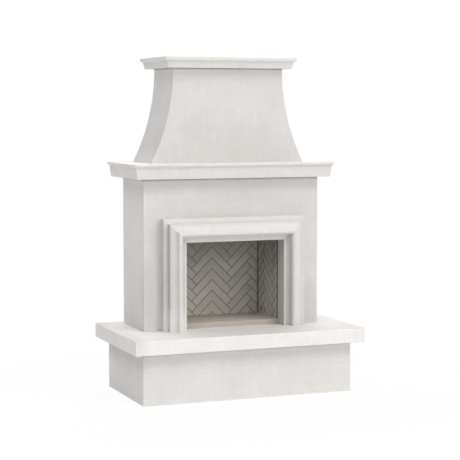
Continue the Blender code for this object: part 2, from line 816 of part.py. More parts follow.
def make_spark_arrestor():
    """Upright rim on the flashing with a flat mesh on it."""
    half_x = cap_hole_width / 2 + cap_ledge_width - arrestor_margin
    half_y = cap_hole_depth / 2 + cap_ledge_width - arrestor_margin
    heights = (0, arrestor_frame_height)
    bottom = flashing_top + seat
    inner_x = half_x - arrestor_frame_width
    inner_y = half_y - arrestor_frame_width
    ring_body("arrestor_frame", "blackened_steel", [rect_loop(half_x, half_y, z) for z in heights],
              [rect_loop(inner_x, inner_y, z) for z in heights], location=(0, chimney_middle, bottom))

    def cell_edges(half, holes):
        gap = (2 * half - (holes + 1) * mesh_wire) / holes
        edges = [-half]
        for _ in range(holes):
            edges.append(edges[-1] + mesh_wire)
            edges.append(edges[-1] + gap)
        return edges + [half]

    bm = bmesh.new()
    columns = cell_edges(half_x, mesh_columns)
    rows = cell_edges(half_y, mesh_rows)
    grid = [[bm.verts.new((x, y, 0)) for y in rows] for x in columns]
    for i in range(len(columns) - 1):
        for j in range(len(rows) - 1):
            if i % 2 == 0 or j % 2 == 0:
                bm.faces.new((grid[i][j], grid[i + 1][j], grid[i + 1][j + 1], grid[i][j + 1]))
    result = bmesh.ops.extrude_face_region(bm, geom=bm.faces[:])
    top = [item for item in result["geom"] if isinstance(item, bmesh.types.BMVert)]
    bmesh.ops.translate(bm, verts=top, vec=(0, 0, mesh_wire))
    bmesh.ops.recalc_face_normals(bm, faces=bm.faces[:])
    place = (0, chimney_middle, bottom + arrestor_frame_height + seat)
    add_object("arrestor_mesh", bm, "blackened_steel", location=place)


# Steel frames

def make_base_frame():
    """Posts on the ground, rails on the posts and joists under the hearth slab's skin."""
    half = tube_size / 2
    joist_top = hearth_top - hearth_skin - seat
    rail_top = joist_top - tube_size - seat
    post_top = rail_top - tube_size - seat
    edge_x = pocket_half - seat
    edge_y = pocket_depth - seat
    for row, y_sign in (("front", -1), ("back", 1)):
        y = base_middle + y_sign * (edge_y - half)
        for side, x_sign in (("left", -1), ("right", 1)):
            square_tube("base_post_%s_%s" % (row, side), post_top, (x_sign * (edge_x - half), y, 0))
        square_tube("base_rail_" + row, 2 * edge_x, (-edge_x, y, rail_top - half), (0, pi / 2, 0))
    inner_x = firebox_outer_half - half
    for number, x in enumerate((-edge_x + half, -inner_x, inner_x, edge_x - half), 1):
        start = (x, base_middle - edge_y, joist_top - half)
        square_tube("base_joist_%d" % number, 2 * edge_y, start, (-pi / 2, 0, 0))


def make_body_frame():
    """Posts in the body's corners with a rail along the top of the front and back pairs."""
    half = tube_size / 2
    edge_x = body_width / 2 - shell_wall - seat
    length = body_top - body_bottom
    for row, y in (("front", cavity_front + seat + half), ("back", cavity_back - seat - half)):
        for side, x_sign in (("left", -1), ("right", 1)):
            place = (x_sign * (edge_x - half), y, body_bottom)
            square_tube("body_post_%s_%s" % (row, side), length, place)
        rail_half = edge_x - tube_size - seat
        square_tube("body_rail_" + row, 2 * rail_half, (-rail_half, y, body_top - half), (0, pi / 2, 0))


# Pins and studs

def pin_joint(name, x, y, level, lower, upper):
    """Upright pin across the seam at a level, in a hole in each of the two castings."""
    reach = pin_length / 2
    radius = pin_radius + seat
    drill(lower, radius, (x, y, level - reach - seat), (x, y, level + overrun))
    drill(upper, radius, (x, y, level - overrun), (x, y, level + reach + seat))
    round_bar(name, "pin_steel", pin_radius, (x, y, level - reach), pin_length)


def make_pins(body, mantel, shroud, cap):
    wall_middle = shell_wall / 2
    front_y = chimney_front + wall_middle
    for side, sign in (("left", -1), ("right", 1)):
        mantel_x = sign * (body_width / 2 - wall_middle)
        pin_joint("mantel_pin_" + side, mantel_x, body_middle, body_top + seat / 2, body, mantel)
        shroud_x = sign * shroud_pin_spacing / 2
        pin_joint("shroud_pin_" + side, shroud_x, front_y, mantel_top + seat / 2, mantel, shroud)
        cap_x = sign * cap_pin_spacing / 2
        pin_joint("cap_pin_" + side, cap_x, front_y, shroud_top + seat / 2, shroud, cap)


def stud_joint(name, x, z, body, moulding):
    """Level stud across the seam between the front wall and the moulding's back."""
    reach = stud_length / 2
    radius = stud_radius + seat
    seam = body_front - seat / 2
    drill(body, radius, (x, seam - overrun, z), (x, seam + reach + seat, z), "Y")
    drill(moulding, radius, (x, seam - reach - seat, z), (x, seam + overrun, z), "Y")
    round_bar(name, "pin_steel", stud_radius, (x, seam - reach, z), stud_length, "Y")


def make_studs(body, moulding):
    middle = moulding_reach / 2
    for side, sign in (("left", -1), ("right", 1)):
        x = sign * header_stud_spacing / 2
        stud_joint("header_stud_" + side, x, opening_top + middle, body, moulding["header"])
        x = sign * (firebox_half + middle)
        stud_joint("jamb_stud_" + side, x, body_bottom + jamb_stud_height, body, moulding[side])


for old in list(bpy.data.objects):
    bpy.data.objects.remove(old)

make_base_plinth()
make_hearth_slab()
body_shell = make_body_shell()
mantel_shelf = make_mantel_shelf()
chimney_shroud = make_chimney_shroud()
chimney_cap = make_chimney_cap()
moulding_pieces = make_moulding()
make_firebox_lining()
make_firebox_shell()
make_lintel_angle()
make_smoke_dome()
make_damper()
make_smoke_chamber()
make_flue()
make_spark_arrestor()
make_base_frame()
make_body_frame()
make_pins(body_shell, mantel_shelf, chimney_shroud, chimney_cap)
make_studs(body_shell, moulding_pieces)
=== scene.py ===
import json
import random
from math import cos, pi, radians, sin, sqrt

import bmesh
import bpy
from bmesh.types import BMEdge, BMFace, BMVert
from mathutils import Matrix, Vector


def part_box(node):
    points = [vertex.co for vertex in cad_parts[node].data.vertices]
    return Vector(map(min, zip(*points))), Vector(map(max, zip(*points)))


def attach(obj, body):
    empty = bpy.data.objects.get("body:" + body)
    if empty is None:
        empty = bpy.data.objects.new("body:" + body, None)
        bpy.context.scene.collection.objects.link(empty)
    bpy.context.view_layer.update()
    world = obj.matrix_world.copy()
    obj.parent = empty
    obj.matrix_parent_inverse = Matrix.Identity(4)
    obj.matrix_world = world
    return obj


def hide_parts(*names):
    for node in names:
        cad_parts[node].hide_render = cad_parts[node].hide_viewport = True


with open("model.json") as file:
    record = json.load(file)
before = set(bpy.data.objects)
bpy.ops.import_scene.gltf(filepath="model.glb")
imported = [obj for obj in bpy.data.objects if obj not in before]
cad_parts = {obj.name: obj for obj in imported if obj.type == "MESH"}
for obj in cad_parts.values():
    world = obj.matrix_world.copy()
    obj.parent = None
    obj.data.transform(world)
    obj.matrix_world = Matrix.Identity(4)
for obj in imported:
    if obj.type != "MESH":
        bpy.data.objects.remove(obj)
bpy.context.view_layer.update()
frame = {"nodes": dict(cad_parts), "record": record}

stageScene = bpy.context.scene
print("frame loaded,", len(frame["nodes"]), "nodes")


# Small helpers for nodes

def feed(tree, socket, value):  # a socket takes a link or a constant
    if isinstance(value, bpy.types.NodeSocket):
        tree.links.new(value, socket)
    else:
        socket.default_value = value


def addNode(tree, kind, links=None, **settings):
    node = tree.nodes.new(kind)
    for setting, value in settings.items():
        setattr(node, setting, value)
    for label, value in (links or {}).items():
        feed(tree, node.inputs[label], value)
    return node


def doMath(tree, operation, a, b=0.0, clamp=False):
    return addNode(tree, "ShaderNodeMath", {0: a, 1: b}, operation=operation, use_clamp=clamp).outputs[0]


def times(tree, a, b, clamp=False):
    return doMath(tree, "MULTIPLY", a, b, clamp)


def less(tree, a, b, clamp=False):
    return doMath(tree, "SUBTRACT", a, b, clamp)


def doVector(tree, operation, a, b=(0, 0, 0), scale=1.0):
    node = addNode(tree, "ShaderNodeVectorMath", {0: a, 1: b, 3: scale}, operation=operation)
    return node.outputs["Value" if operation == "LENGTH" else "Vector"]


def splitAxes(tree, vector):
    return addNode(tree, "ShaderNodeSeparateXYZ", {0: vector}).outputs


def mapRange(tree, value, given, wanted, kind="LINEAR"):
    links = {0: value, 1: given[0], 2: given[1], 3: wanted[0], 4: wanted[1]}
    return addNode(tree, "ShaderNodeMapRange", links, interpolation_type=kind).outputs[0]


def rising(tree, value, start, rate, clamp=False):  # start plus rate times the value
    return doMath(tree, "ADD", start, times(tree, value, rate), clamp)


def swing(tree, start, noise, amount, clamp=False):  # start pushed up or down by noise around 0.5
    return rising(tree, less(tree, noise, 0.5), start, amount, clamp)


def blendColours(tree, factor, a, b):
    return addNode(tree, "ShaderNodeMix", {0: factor, 6: a, 7: b}, data_type="RGBA").outputs[2]


def tint(tree, colour, mask, share, other):  # the other colour laid over the first one, where the mask is
    return blendColours(tree, times(tree, mask, share), colour, other)


def startGroup(name, **inputs):  # a vector comes without a value, a colour with four and a number with one
    group = bpy.data.node_groups.new(name, "ShaderNodeTree")
    for label, value in {"Vector": None, **inputs}.items():
        kind = "Vector" if value is None else "Color" if isinstance(value, tuple) else "Float"
        socket = group.interface.new_socket(name=label, in_out="INPUT", socket_type="NodeSocket" + kind)
        if value is not None:
            socket.default_value = value
    put = addNode(group, "NodeGroupInput").outputs
    return group, put, put["Vector"]


def endGroup(group, **results):
    for label, result in results.items():
        kind = "Color" if result.type == "RGBA" else "Float"
        group.interface.new_socket(name=label, in_out="OUTPUT", socket_type="NodeSocket" + kind)
    addNode(group, "NodeGroupOutput", results)
    return group


def useGroup(tree, group, vector, **links):
    return addNode(tree, "ShaderNodeGroup", {"Vector": vector, **links}, node_tree=group).outputs


def spotNoise(tree, vector, scale, detail=4.0, roughness=0.6):
    links = {"Vector": vector, "Scale": scale, "Detail": detail, "Roughness": roughness}
    return addNode(tree, "ShaderNodeTexNoise", links).outputs["Fac"]


def strokeNoise(tree, vector, stretch):  # noise drawn out along the axis with the smallest number
    drawn = addNode(tree, "ShaderNodeMapping", {"Vector": vector, "Scale": stretch}).outputs[0]
    return spotNoise(tree, drawn, 1.0, 3.0)


def addCells(tree, vector, size):  # distance from the middle of each cell, and three chances of its own
    scale = doMath(tree, "DIVIDE", 1.0, size)
    cells = addNode(tree, "ShaderNodeTexVoronoi", {"Vector": vector, "Scale": scale}).outputs
    return cells["Distance"], addNode(tree, "ShaderNodeSeparateColor", {0: cells["Color"]}).outputs


# Effects shared by the finishes

def makeCloudyTone():  # trowelled, cloudy tone of a cast or fired surface
    group, put, at = startGroup("cloudyTone", Pale=(0.8, 0.8, 0.8, 1), Deep=(0.7, 0.7, 0.7, 1),
                            Patches=4.0, Cloud=1.5, Brush=0.4, Grain=0.3)
    wide = spotNoise(group, at, put["Patches"])
    small = spotNoise(group, at, times(group, put["Patches"], 5.3), 3.0)
    upright = strokeNoise(group, at, (62, 62, 5))
    level = strokeNoise(group, at, (6, 6, 70))
    grain = spotNoise(group, at, 480.0, 2.0)
    strokes = times(group, doMath(group, "ADD", upright, level), 0.5)
    tone = swing(group, 0.5, wide, put["Cloud"])
    tone = swing(group, tone, small, times(group, put["Cloud"], 0.55))
    tone = swing(group, tone, strokes, put["Brush"])
    tone = swing(group, tone, grain, put["Grain"], clamp=True)
    height = rising(group, grain, times(group, strokes, 0.5), 0.35)
    return endGroup(group, Colour=blendColours(group, tone, put["Deep"], put["Pale"]),
                    Height=doMath(group, "ADD", height, small))


def makeAirPits():  # small round holes that trapped air leaves in a casting
    group, put, at = startGroup("airPits", Spacing=0.02, Size=0.12, Share=0.3)
    distance, chance = addCells(group, at, put["Spacing"])
    radius = times(group, put["Size"], doMath(group, "ADD", chance[0], 0.25))
    depth = doMath(group, "DIVIDE", less(group, radius, distance), radius, clamp=True)
    there = doMath(group, "LESS_THAN", chance[1], put["Share"])
    return endGroup(group, Mask=times(group, depth, there))


def makeArrisWear():  # uneven pale band along the outer corners of a block with this middle and half size
    group, put, at = startGroup("arrisWear", Middle=None, Half=None, Reach=0.012)
    size = doVector(group, "ABSOLUTE", doVector(group, "SUBTRACT", at, put["Middle"]))
    x, y, z = splitAxes(group, doVector(group, "SUBTRACT", put["Half"], size))
    low = doMath(group, "MINIMUM", x, y)
    high = doMath(group, "MAXIMUM", x, y)
    edge = doMath(group, "MAXIMUM", low, doMath(group, "MINIMUM", high, z))
    ragged = times(group, spotNoise(group, at, 55.0, 5.0, 0.7), put["Reach"])
    reach = times(group, ragged, 2.0)
    near = doMath(group, "DIVIDE", less(group, reach, edge), put["Reach"], clamp=True)
    return endGroup(group, Mask=near)


def makeMetalSkin():  # patchy oxide on steel, with brushed lines and a share of bloom
    group, put, at = startGroup("metalSkin", Base=(0.05, 0.05, 0.05, 1), Bloom=(0.2, 0.1, 0.05, 1),
                            Amount=0.2, Roughness=0.5)
    patch = spotNoise(group, at, 22.0, 5.0, 0.65)
    fine = spotNoise(group, at, 300.0, 3.0)
    lines = strokeNoise(group, at, (9, 240, 240))
    start = times(group, less(group, 1.0, put["Amount"]), 0.75)
    over = less(group, swing(group, patch, fine, 0.5), start)
    bloom = times(group, over, 4.0, clamp=True)
    shaded = doVector(group, "SCALE", put["Base"], scale=rising(group, patch, 0.78, 0.44))
    rough = swing(group, put["Roughness"], patch, 0.3)
    height = rising(group, lines, times(group, fine, 0.5), 0.25)
    return endGroup(group, Colour=tint(group, shaded, bloom, 0.8, put["Bloom"]),
                    Roughness=rising(group, bloom, rough, 0.2, clamp=True),
                    Height=rising(group, bloom, height, 0.5))


def makeZincSpangle():  # flat crystals of a galvanised sheet
    group, put, at = startGroup("zincSpangle", Pale=(0.6, 0.6, 0.6, 1), Deep=(0.4, 0.4, 0.4, 1),
                            Crystal=0.012)
    warp = addNode(group, "ShaderNodeTexNoise", {"Vector": at, "Scale": 60.0, "Detail": 2.0}).outputs["Color"]
    warped = doVector(group, "ADD", at, doVector(group, "SCALE", warp, scale=0.008))
    chance = addCells(group, warped, put["Crystal"])[1]
    return endGroup(group, Colour=blendColours(group, chance[0], put["Deep"], put["Pale"]),
                    Roughness=rising(group, chance[1], 0.34, 0.22),
                    Height=times(group, chance[2], 0.6))


def makeLedgeShade():  # painted shade close under a ledge, darkest at the joint, and a band of painted light below it
    group, put, at = startGroup("ledgeGrime", Top=1.0, Reach=0.03, Shelter=0.06)
    below = less(group, put["Top"], splitAxes(group, at)["Z"])
    full = swing(group, 1.0, spotNoise(group, at, 30.0, 4.0, 0.65), 0.3)
    near = less(group, full, doMath(group, "DIVIDE", below, put["Reach"]), clamp=True)
    litBand = less(group, full, doMath(group, "DIVIDE", below, put["Shelter"]), clamp=True)
    mask = times(group, doMath(group, "POWER", near, 2.0), 1.6, clamp=True)
    return endGroup(group, Mask=mask, Clean=litBand)


def makeOpeningShade():  # painted shade on the faces that line the fire opening, up to its upper corner
    group, put, at = startGroup("openingSoot", Corner=None)
    x, y, z = splitAxes(group, at)
    cornerX, cornerY, cornerZ = splitAxes(group, put["Corner"])
    inside = doMath(group, "LESS_THAN", doMath(group, "ABSOLUTE", x), cornerX)
    inside = times(group, inside, doMath(group, "LESS_THAN", z, cornerZ))
    inside = times(group, inside, doMath(group, "LESS_THAN", y, cornerY))
    patchy = rising(group, spotNoise(group, at, 14.0), 0.7, 0.6)
    return endGroup(group, Mask=times(group, inside, patchy, clamp=True))


hollows = {  # stops: distance from the opening and the painted shade there. From outerFrom on the outer share counts.
    "reach": 0.2, "outerFrom": 0.09,
    "stops": [(0.012, 0.0), (0.018, 0.75), (0.028, 0.55), (0.038, 0.85), (0.050, 0.1), (0.066, 0.0),
              (0.108, 0.0), (0.1275, 0.9), (0.1305, 0.9), (0.137, 0.0), (0.1595, 0.0), (0.1627, 0.55)],
}


def makeHollowShade():  # painted shade in the hollows of the moulding, by the distance from the opening
    group, put, at = startGroup("hollowGrime", Distance=0.0, Inner=1.0, Outer=1.0)
    place = doMath(group, "DIVIDE", put["Distance"], hollows["reach"])
    ramp = addNode(group, "ShaderNodeValToRGB", {0: place})
    stops = ramp.color_ramp.elements
    wanted = hollows["stops"]
    for stop, (distance, amount) in zip([*stops, *(stops.new(1) for _ in wanted[2:])], wanted):
        stop.position = distance / hollows["reach"]
        stop.color = (amount, amount, amount, 1)
    outside = doMath(group, "GREATER_THAN", put["Distance"], hollows["outerFrom"])
    share = addNode(group, "ShaderNodeMix", {0: outside, 2: put["Inner"], 3: put["Outer"]}).outputs[0]
    recessShade = times(group, ramp.outputs[0], share)
    ragged = rising(group, spotNoise(group, at, 40.0, 4.0, 0.65), 0.65, 0.7)
    return endGroup(group, Mask=times(group, recessShade, ragged, clamp=True))


cloudyTone = makeCloudyTone()
airPits = makeAirPits()
arrisWear = makeArrisWear()
metalSkin = makeMetalSkin()
zincSpangle = makeZincSpangle()
ledgeGrime = makeLedgeShade()
hollowGrime = makeHollowShade()
openingSoot = makeOpeningShade()
print("shared effects made")


# Finishes

def pieceName(node):  # the node's name in the way that this scene writes names
    words = node.split("_")
    return words[0] + "".join(word.capitalize() for word in words[1:])


def startFinish(name):
    finish = bpy.data.materials.new(name)
    finish.use_nodes = True
    tree = finish.node_tree
    return finish, tree, addNode(tree, "ShaderNodeTexCoord").outputs["Object"]


def endFinish(finish, look, colour, roughness, height):
    tree = finish.node_tree
    bump = addNode(tree, "ShaderNodeBump", {
        "Height": height, "Distance": look["relief"], "Strength": look["bump"]}).outputs[0]
    surface = {"Base Color": colour, "Roughness": roughness, "Metallic": look.get("metallic", 0.0),
               "Specular IOR Level": look.get("specular", 0.5), "Normal": bump}
    for label, value in surface.items():
        feed(tree, tree.nodes["Principled BSDF"].inputs[label], value)
    return finish


def addTone(tree, where, look):
    labels = ("pale", "deep", "patches", "cloud", "brush", "grain")
    return useGroup(tree, cloudyTone, where, **{label.capitalize(): look[label] for label in labels})


def addPits(tree, where, pits):
    return useGroup(tree, airPits, where, Spacing=pits[0], Size=pits[1], Share=pits[2])["Mask"]


def addWear(tree, where, look, node):
    low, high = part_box(node)
    return useGroup(tree, arrisWear, where, Middle=(low + high) / 2, Half=(high - low) / 2,
                    Reach=look["wearReach"])["Mask"]


openingCorner = (0.3632, -0.035, 1.0538)  # just outside the opening's upper corner, behind its front wall
# Of these colours the darkest is laid only as painted shade, the one for top faces is painted light, the pit
# colour is painted shade in the pits, and the pale worn one serves both worn arrises and painted light.
concreteLook = {  # pits: their spacing, their size as a share of it, and the share of places that have one
    "pale": (0.815, 0.793, 0.780, 1), "deep": (0.685, 0.666, 0.652, 1), "pit": (0.50, 0.485, 0.46, 1),
    "worn": (0.86, 0.842, 0.828, 1), "bleached": (0.94, 0.925, 0.91, 1), "grime": (0.40, 0.385, 0.36, 1),
    "patches": 4.5, "cloud": 0.9, "brush": 1.25, "grain": 0.35, "wear": 0.35, "wearReach": 0.008,
    "finePits": [0.011, 0.11, 0.16], "broadPits": [0.043, 0.060, 0.20], "pitTint": 0.6, "pitDepth": 1.6,
    "shelter": 0.075, "shelterTint": 0.9, "dustTint": 0.6, "brightest": 0.97, "roughness": 0.88,
    "wornSheen": 0.06, "specular": 0.35, "relief": 0.0010, "bump": 0.55,
}


# lift: how pale the piece's colours are made, set piece by piece. own: the numbers in which it differs from
# the common look.
def concreteFinish(node, lift, ledge=0.0, hollow=None, soot=0.0, stains=(), bleach=0.0, **own):
    look = {**concreteLook, **own}
    for key, value in look.items():
        if isinstance(value, tuple):
            look[key] = (*(min(look["brightest"], lift * channel) for channel in value[:3]), 1)
    finish, tree, where = startFinish(pieceName(node) + "Concrete")
    tone = addTone(tree, where, look)
    fine, broad = [addPits(tree, where, look[pits]) for pits in ("finePits", "broadPits")]
    pits = doMath(tree, "MAXIMUM", fine, broad)
    worn = addWear(tree, where, look, node)
    colour = tint(tree, tone["Colour"], worn, look["wear"], look["worn"])
    # painted shade in the pits
    colour = tint(tree, colour, pits, look["pitTint"], look["pit"])
    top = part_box(node)[1].z
    if ledge:
        # painted light in a band below the ledge, and painted shade close under it
        underLedge = useGroup(tree, ledgeGrime, where, Top=top, Reach=ledge, Shelter=look["shelter"])
        colour = tint(tree, colour, underLedge["Clean"], look["shelterTint"], look["worn"])
        colour = blendColours(tree, underLedge["Mask"], colour, look["grime"])
    if hollow:
        along = doMath(tree, "ABSOLUTE", splitAxes(tree, where)[hollow["axis"]])
        distance = less(tree, along, hollow["start"])
        # painted shade in the moulding's hollows
        recessShade = useGroup(tree, hollowGrime, where, Distance=distance,
                        Inner=hollow["inner"], Outer=hollow["outer"])["Mask"]
        colour = tint(tree, colour, recessShade, look["dustTint"], look["grime"])
    if bleach:  # painted light on the top faces
        upper = doMath(tree, "GREATER_THAN", splitAxes(tree, where)["Z"], top - 0.001)
        colour = tint(tree, colour, upper, bleach, look["bleached"])
    for middle, reach, amount, kind in stains:  # soft spot of painted shade or painted light round a point
        apart = doVector(tree, "DIVIDE", doVector(tree, "SUBTRACT", where, middle), reach)
        apart = swing(tree, doVector(tree, "LENGTH", apart), spotNoise(tree, where, 9.0), 0.5)
        near = mapRange(tree, apart, (0.4, 1.2), (amount, 0.0), "SMOOTHSTEP")
        colour = blendColours(tree, near, colour, look[kind])
    if soot:
        # painted shade on the faces inside the fire opening
        paintedShading = useGroup(tree, openingSoot, where, Corner=openingCorner)["Mask"]
        colour = tint(tree, colour, paintedShading, soot, look["grime"])
    rough = less(tree, look["roughness"], times(tree, worn, look["wornSheen"]))
    height = less(tree, tone["Height"], times(tree, pits, look["pitDepth"]))
    return endFinish(finish, look, colour, rough, height)


brickLook = {
    "pale": (0.500, 0.478, 0.446, 1), "deep": (0.375, 0.358, 0.332, 1), "speck": (0.22, 0.205, 0.185, 1),
    "patches": 14.0, "cloud": 0.9, "brush": 0.3, "grain": 0.9, "specks": [0.008, 0.16, 0.3],
    "speckTint": 0.7, "ownShade": 0.2, "ownSheen": 0.08, "heights": (0.48, 1.05),
    "sootHeights": (0.83, 1.0), "sooted": 0.8, "depths": (-0.03, 0.32), "roughness": 0.9,
    "relief": 0.0011, "bump": 0.6,
}
brickLightAndShade = {  # painted light and shade: how pale the bricks are made near these ends of a panel
    "backBrick": {"foot": 1.66, "head": 1.16, "front": 1.0, "back": 1.0},
    "sideBrick": {"foot": 1.26, "head": 1.04, "front": 0.86, "back": 1.18},
}


def brickFinish(name):
    look = {**brickLook, **brickLightAndShade[name]}
    finish, tree, where = startFinish(name)
    ownTone = addNode(tree, "ShaderNodeAttribute", attribute_name="brickTone").outputs["Fac"]
    tone = addTone(tree, where, look)
    axes = splitAxes(tree, where)
    # painted light and shade: paler towards the foot, painted shade towards the top, and a change with depth
    paintedShading = mapRange(tree, axes["Z"], look["heights"], (look["foot"], look["head"]))
    sooted = mapRange(tree, axes["Z"], look["sootHeights"], (1.0, look["sooted"]))
    depthShading = mapRange(tree, axes["Y"], look["depths"], (look["front"], look["back"]))
    shade = times(tree, paintedShading, times(tree, sooted, depthShading))
    own = doVector(tree, "SCALE", tone["Colour"], scale=swing(tree, shade, ownTone, look["ownShade"]))
    specks = addPits(tree, where, look["specks"])
    colour = tint(tree, own, specks, look["speckTint"], look["speck"])
    rough = swing(tree, look["roughness"], ownTone, look["ownSheen"], clamp=True)
    return endFinish(finish, look, colour, rough, less(tree, tone["Height"], specks))


# The grooves between the bricks: their dark colour is painted shade, darker on the side panels.
grooveShadeLook = {"patches": 20.0, "cloud": 1.0, "brush": 0.0, "grain": 1.2, "roughness": 0.95, "relief": 0.0008,
             "bump": 0.6}
grooveShadeColours = {
    "backGrout": {"pale": (0.275, 0.250, 0.220, 1), "deep": (0.185, 0.169, 0.148, 1)},
    "sideGrout": {"pale": (0.120, 0.109, 0.095, 1), "deep": (0.075, 0.068, 0.060, 1)},
}


def grooveShadeFinish(name):
    look = {**grooveShadeLook, **grooveShadeColours[name]}
    finish, tree, where = startFinish(name)
    tone = addTone(tree, where, look)
    return endFinish(finish, look, tone["Colour"], look["roughness"], tone["Height"])


hearthTileLook = {
    "pale": (0.555, 0.505, 0.450, 1), "deep": (0.435, 0.392, 0.345, 1), "worn": (0.66, 0.61, 0.55, 1),
    "pit": (0.28, 0.24, 0.20, 1), "patches": 9.0, "cloud": 1.0, "brush": 0.3, "grain": 0.5,
    "pits": [0.012, 0.12, 0.2], "pitTint": 0.5, "wear": 0.15, "wearReach": 0.006, "wornSheen": 0.08,
    "roughness": 0.84, "relief": 0.001, "bump": 0.5,
}


def hearthTileFinish():
    look = hearthTileLook
    finish, tree, where = startFinish("hearthTile")
    tone = addTone(tree, where, look)
    pits = addPits(tree, where, look["pits"])
    worn = addWear(tree, where, look, "firebox_floor")
    colour = tint(tree, tone["Colour"], worn, look["wear"], look["worn"])
    # painted shade in the pits
    colour = tint(tree, colour, pits, look["pitTint"], look["pit"])
    rough = less(tree, look["roughness"], times(tree, worn, look["wornSheen"]))
    return endFinish(finish, look, colour, rough, less(tree, tone["Height"], pits))


metalLooks = {
    "blackSteel": {"base": (0.040, 0.038, 0.036, 1), "bloom": (0.085, 0.062, 0.045, 1), "amount": 0.25,
                   "roughness": 0.55, "metallic": 0.6},
    "dustySteel": {"base": (0.125, 0.118, 0.108, 1), "bloom": (0.21, 0.19, 0.165, 1), "amount": 0.45,
                   "roughness": 0.75, "metallic": 0.1},
    "primedSteel": {"base": (0.105, 0.105, 0.112, 1), "bloom": (0.170, 0.085, 0.045, 1), "amount": 0.30,
                    "roughness": 0.55, "metallic": 0.2},
    "pinSteel": {"base": (0.45, 0.44, 0.43, 1), "bloom": (0.22, 0.15, 0.10, 1), "amount": 0.15,
                 "roughness": 0.38, "metallic": 1.0},
}


def metalFinish(name):
    look = {**metalLooks[name], "relief": 0.0004, "bump": 0.5}
    finish, tree, where = startFinish(name)
    skin = useGroup(tree, metalSkin, where, Base=look["base"], Bloom=look["bloom"],
                    Amount=look["amount"], Roughness=look["roughness"])
    return endFinish(finish, look, skin["Colour"], skin["Roughness"], skin["Height"])


zincLook = {"pale": (0.62, 0.63, 0.645, 1), "deep": (0.44, 0.45, 0.465, 1), "crystal": 0.014, "metallic": 0.9,
            "relief": 0.0002, "bump": 0.4}


def zincFinish():
    look = zincLook
    finish, tree, where = startFinish("zincSheet")
    skin = useGroup(tree, zincSpangle, where, Pale=look["pale"], Deep=look["deep"],
                    Crystal=look["crystal"])
    return endFinish(finish, look, skin["Colour"], skin["Roughness"], skin["Height"])


backBrick, sideBrick = brickFinish("backBrick"), brickFinish("sideBrick")
backGrout, sideGrout = grooveShadeFinish("backGrout"), grooveShadeFinish("sideGrout")
hearthTile = hearthTileFinish()
blackSteel, dustySteel, primedSteel, pinSteel = [metalFinish(name) for name in metalLooks]
zincSheet = zincFinish()
print("finishes made")


# Helpers for shapes

slots = {part["node"]: part["material_slot"] for part in frame["record"]["subparts"]}
slotFinishes = {"blackened_steel": blackSteel, "galvanised_steel": zincSheet, "primed_steel": primedSteel,
                "pin_steel": pinSteel, "hearth_tile": hearthTile}


def placeObject(name, data):
    made = bpy.data.objects.new(name, data)
    stageScene.collection.objects.link(made)
    return made


def meshFrom(name, bm, finishes=()):
    mesh = bpy.data.meshes.new(name)
    bm.to_mesh(mesh)
    bm.free()
    for finish in finishes:
        mesh.materials.append(finish)
    return mesh


def makePiece(node, bm, finishes=None, name=None, body="fireplace", smoothBelow=40):
    name = name or pieceName(node)
    bmesh.ops.dissolve_degenerate(bm, dist=1e-6, edges=bm.edges[:])
    mesh = meshFrom(name, bm, finishes or [slotFinishes[slots[node]]])
    mesh.shade_smooth()
    mesh.set_sharp_from_angle(angle=radians(smoothBelow))
    piece = placeObject(name, mesh)
    piece.modifiers.new("evenShading", "WEIGHTED_NORMAL").keep_sharp = True
    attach(piece, body)
    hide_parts(node)
    return piece


def allOf(bm):
    return [*bm.verts, *bm.edges, *bm.faces]


def turnOut(bm):
    bmesh.ops.recalc_face_normals(bm, faces=bm.faces[:])


def cutAt(bm, spot, facing, clear=True, dist=1e-7):
    bmesh.ops.bisect_plane(bm, geom=allOf(bm), plane_co=spot, plane_no=facing, clear_outer=clear, dist=dist)


def trimAndFill(bm, spot, facing):
    cutAt(bm, spot, facing)
    bmesh.ops.holes_fill(bm, edges=[edge for edge in bm.edges if edge.is_boundary], sides=0)


def mergeFlat(bm):
    bmesh.ops.dissolve_limit(bm, angle_limit=radians(1), verts=bm.verts[:], edges=bm.edges[:])


def pick(made, kind):
    return [item for item in made["geom"] if isinstance(item, kind)]


def drawOut(bm, face, move):  # extrude one face, leaving nothing behind inside the solid
    top = pick(bmesh.ops.extrude_face_region(bm, geom=[face, *face.edges, *face.verts]), BMFace)[0]
    bmesh.ops.translate(bm, vec=move, verts=top.verts)
    return top


def straightLevels(node, wall=0.0):  # foot and head of this solid, less a wall all round
    low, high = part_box(node)
    return [(high.x - wall, (high.y - low.y) / 2 - wall, z, (low.y + high.y) / 2) for z in (low.z, high.z)]


def growPlate(bm, halfX, halfY, z=0.0, middle=0.0):
    place = Matrix.Translation((0, middle, z)) @ Matrix.Diagonal((halfX, halfY, 1, 1))
    corners = bmesh.ops.create_grid(bm, x_segments=1, y_segments=1, size=1, matrix=place)["verts"]
    return corners[0].link_faces[0]


def growTower(bm, levels):  # rectangles from the ground up: half width, half depth, height, middle
    halfX, halfY, z, middle = levels[0]
    bottom = top = growPlate(bm, *levels[0])
    for nextX, nextY, nextZ, nextMiddle in levels[1:]:
        top = drawOut(bm, top, (0, nextMiddle - middle, nextZ - z))
        about = Matrix.Translation((0, -nextMiddle, 0))
        bmesh.ops.scale(bm, vec=(nextX / halfX, nextY / halfY, 1), space=about, verts=top.verts)
        halfX, halfY, z, middle = nextX, nextY, nextZ, nextMiddle
    return bottom, top


def fillRing(bm, rims):  # flat face between an outer and an inner outline
    filled = bmesh.ops.triangle_fill(bm, use_beauty=True, edges=rims)
    bmesh.ops.join_triangles(bm, faces=pick(filled, BMFace), angle_face_threshold=pi,
                             angle_shape_threshold=pi)


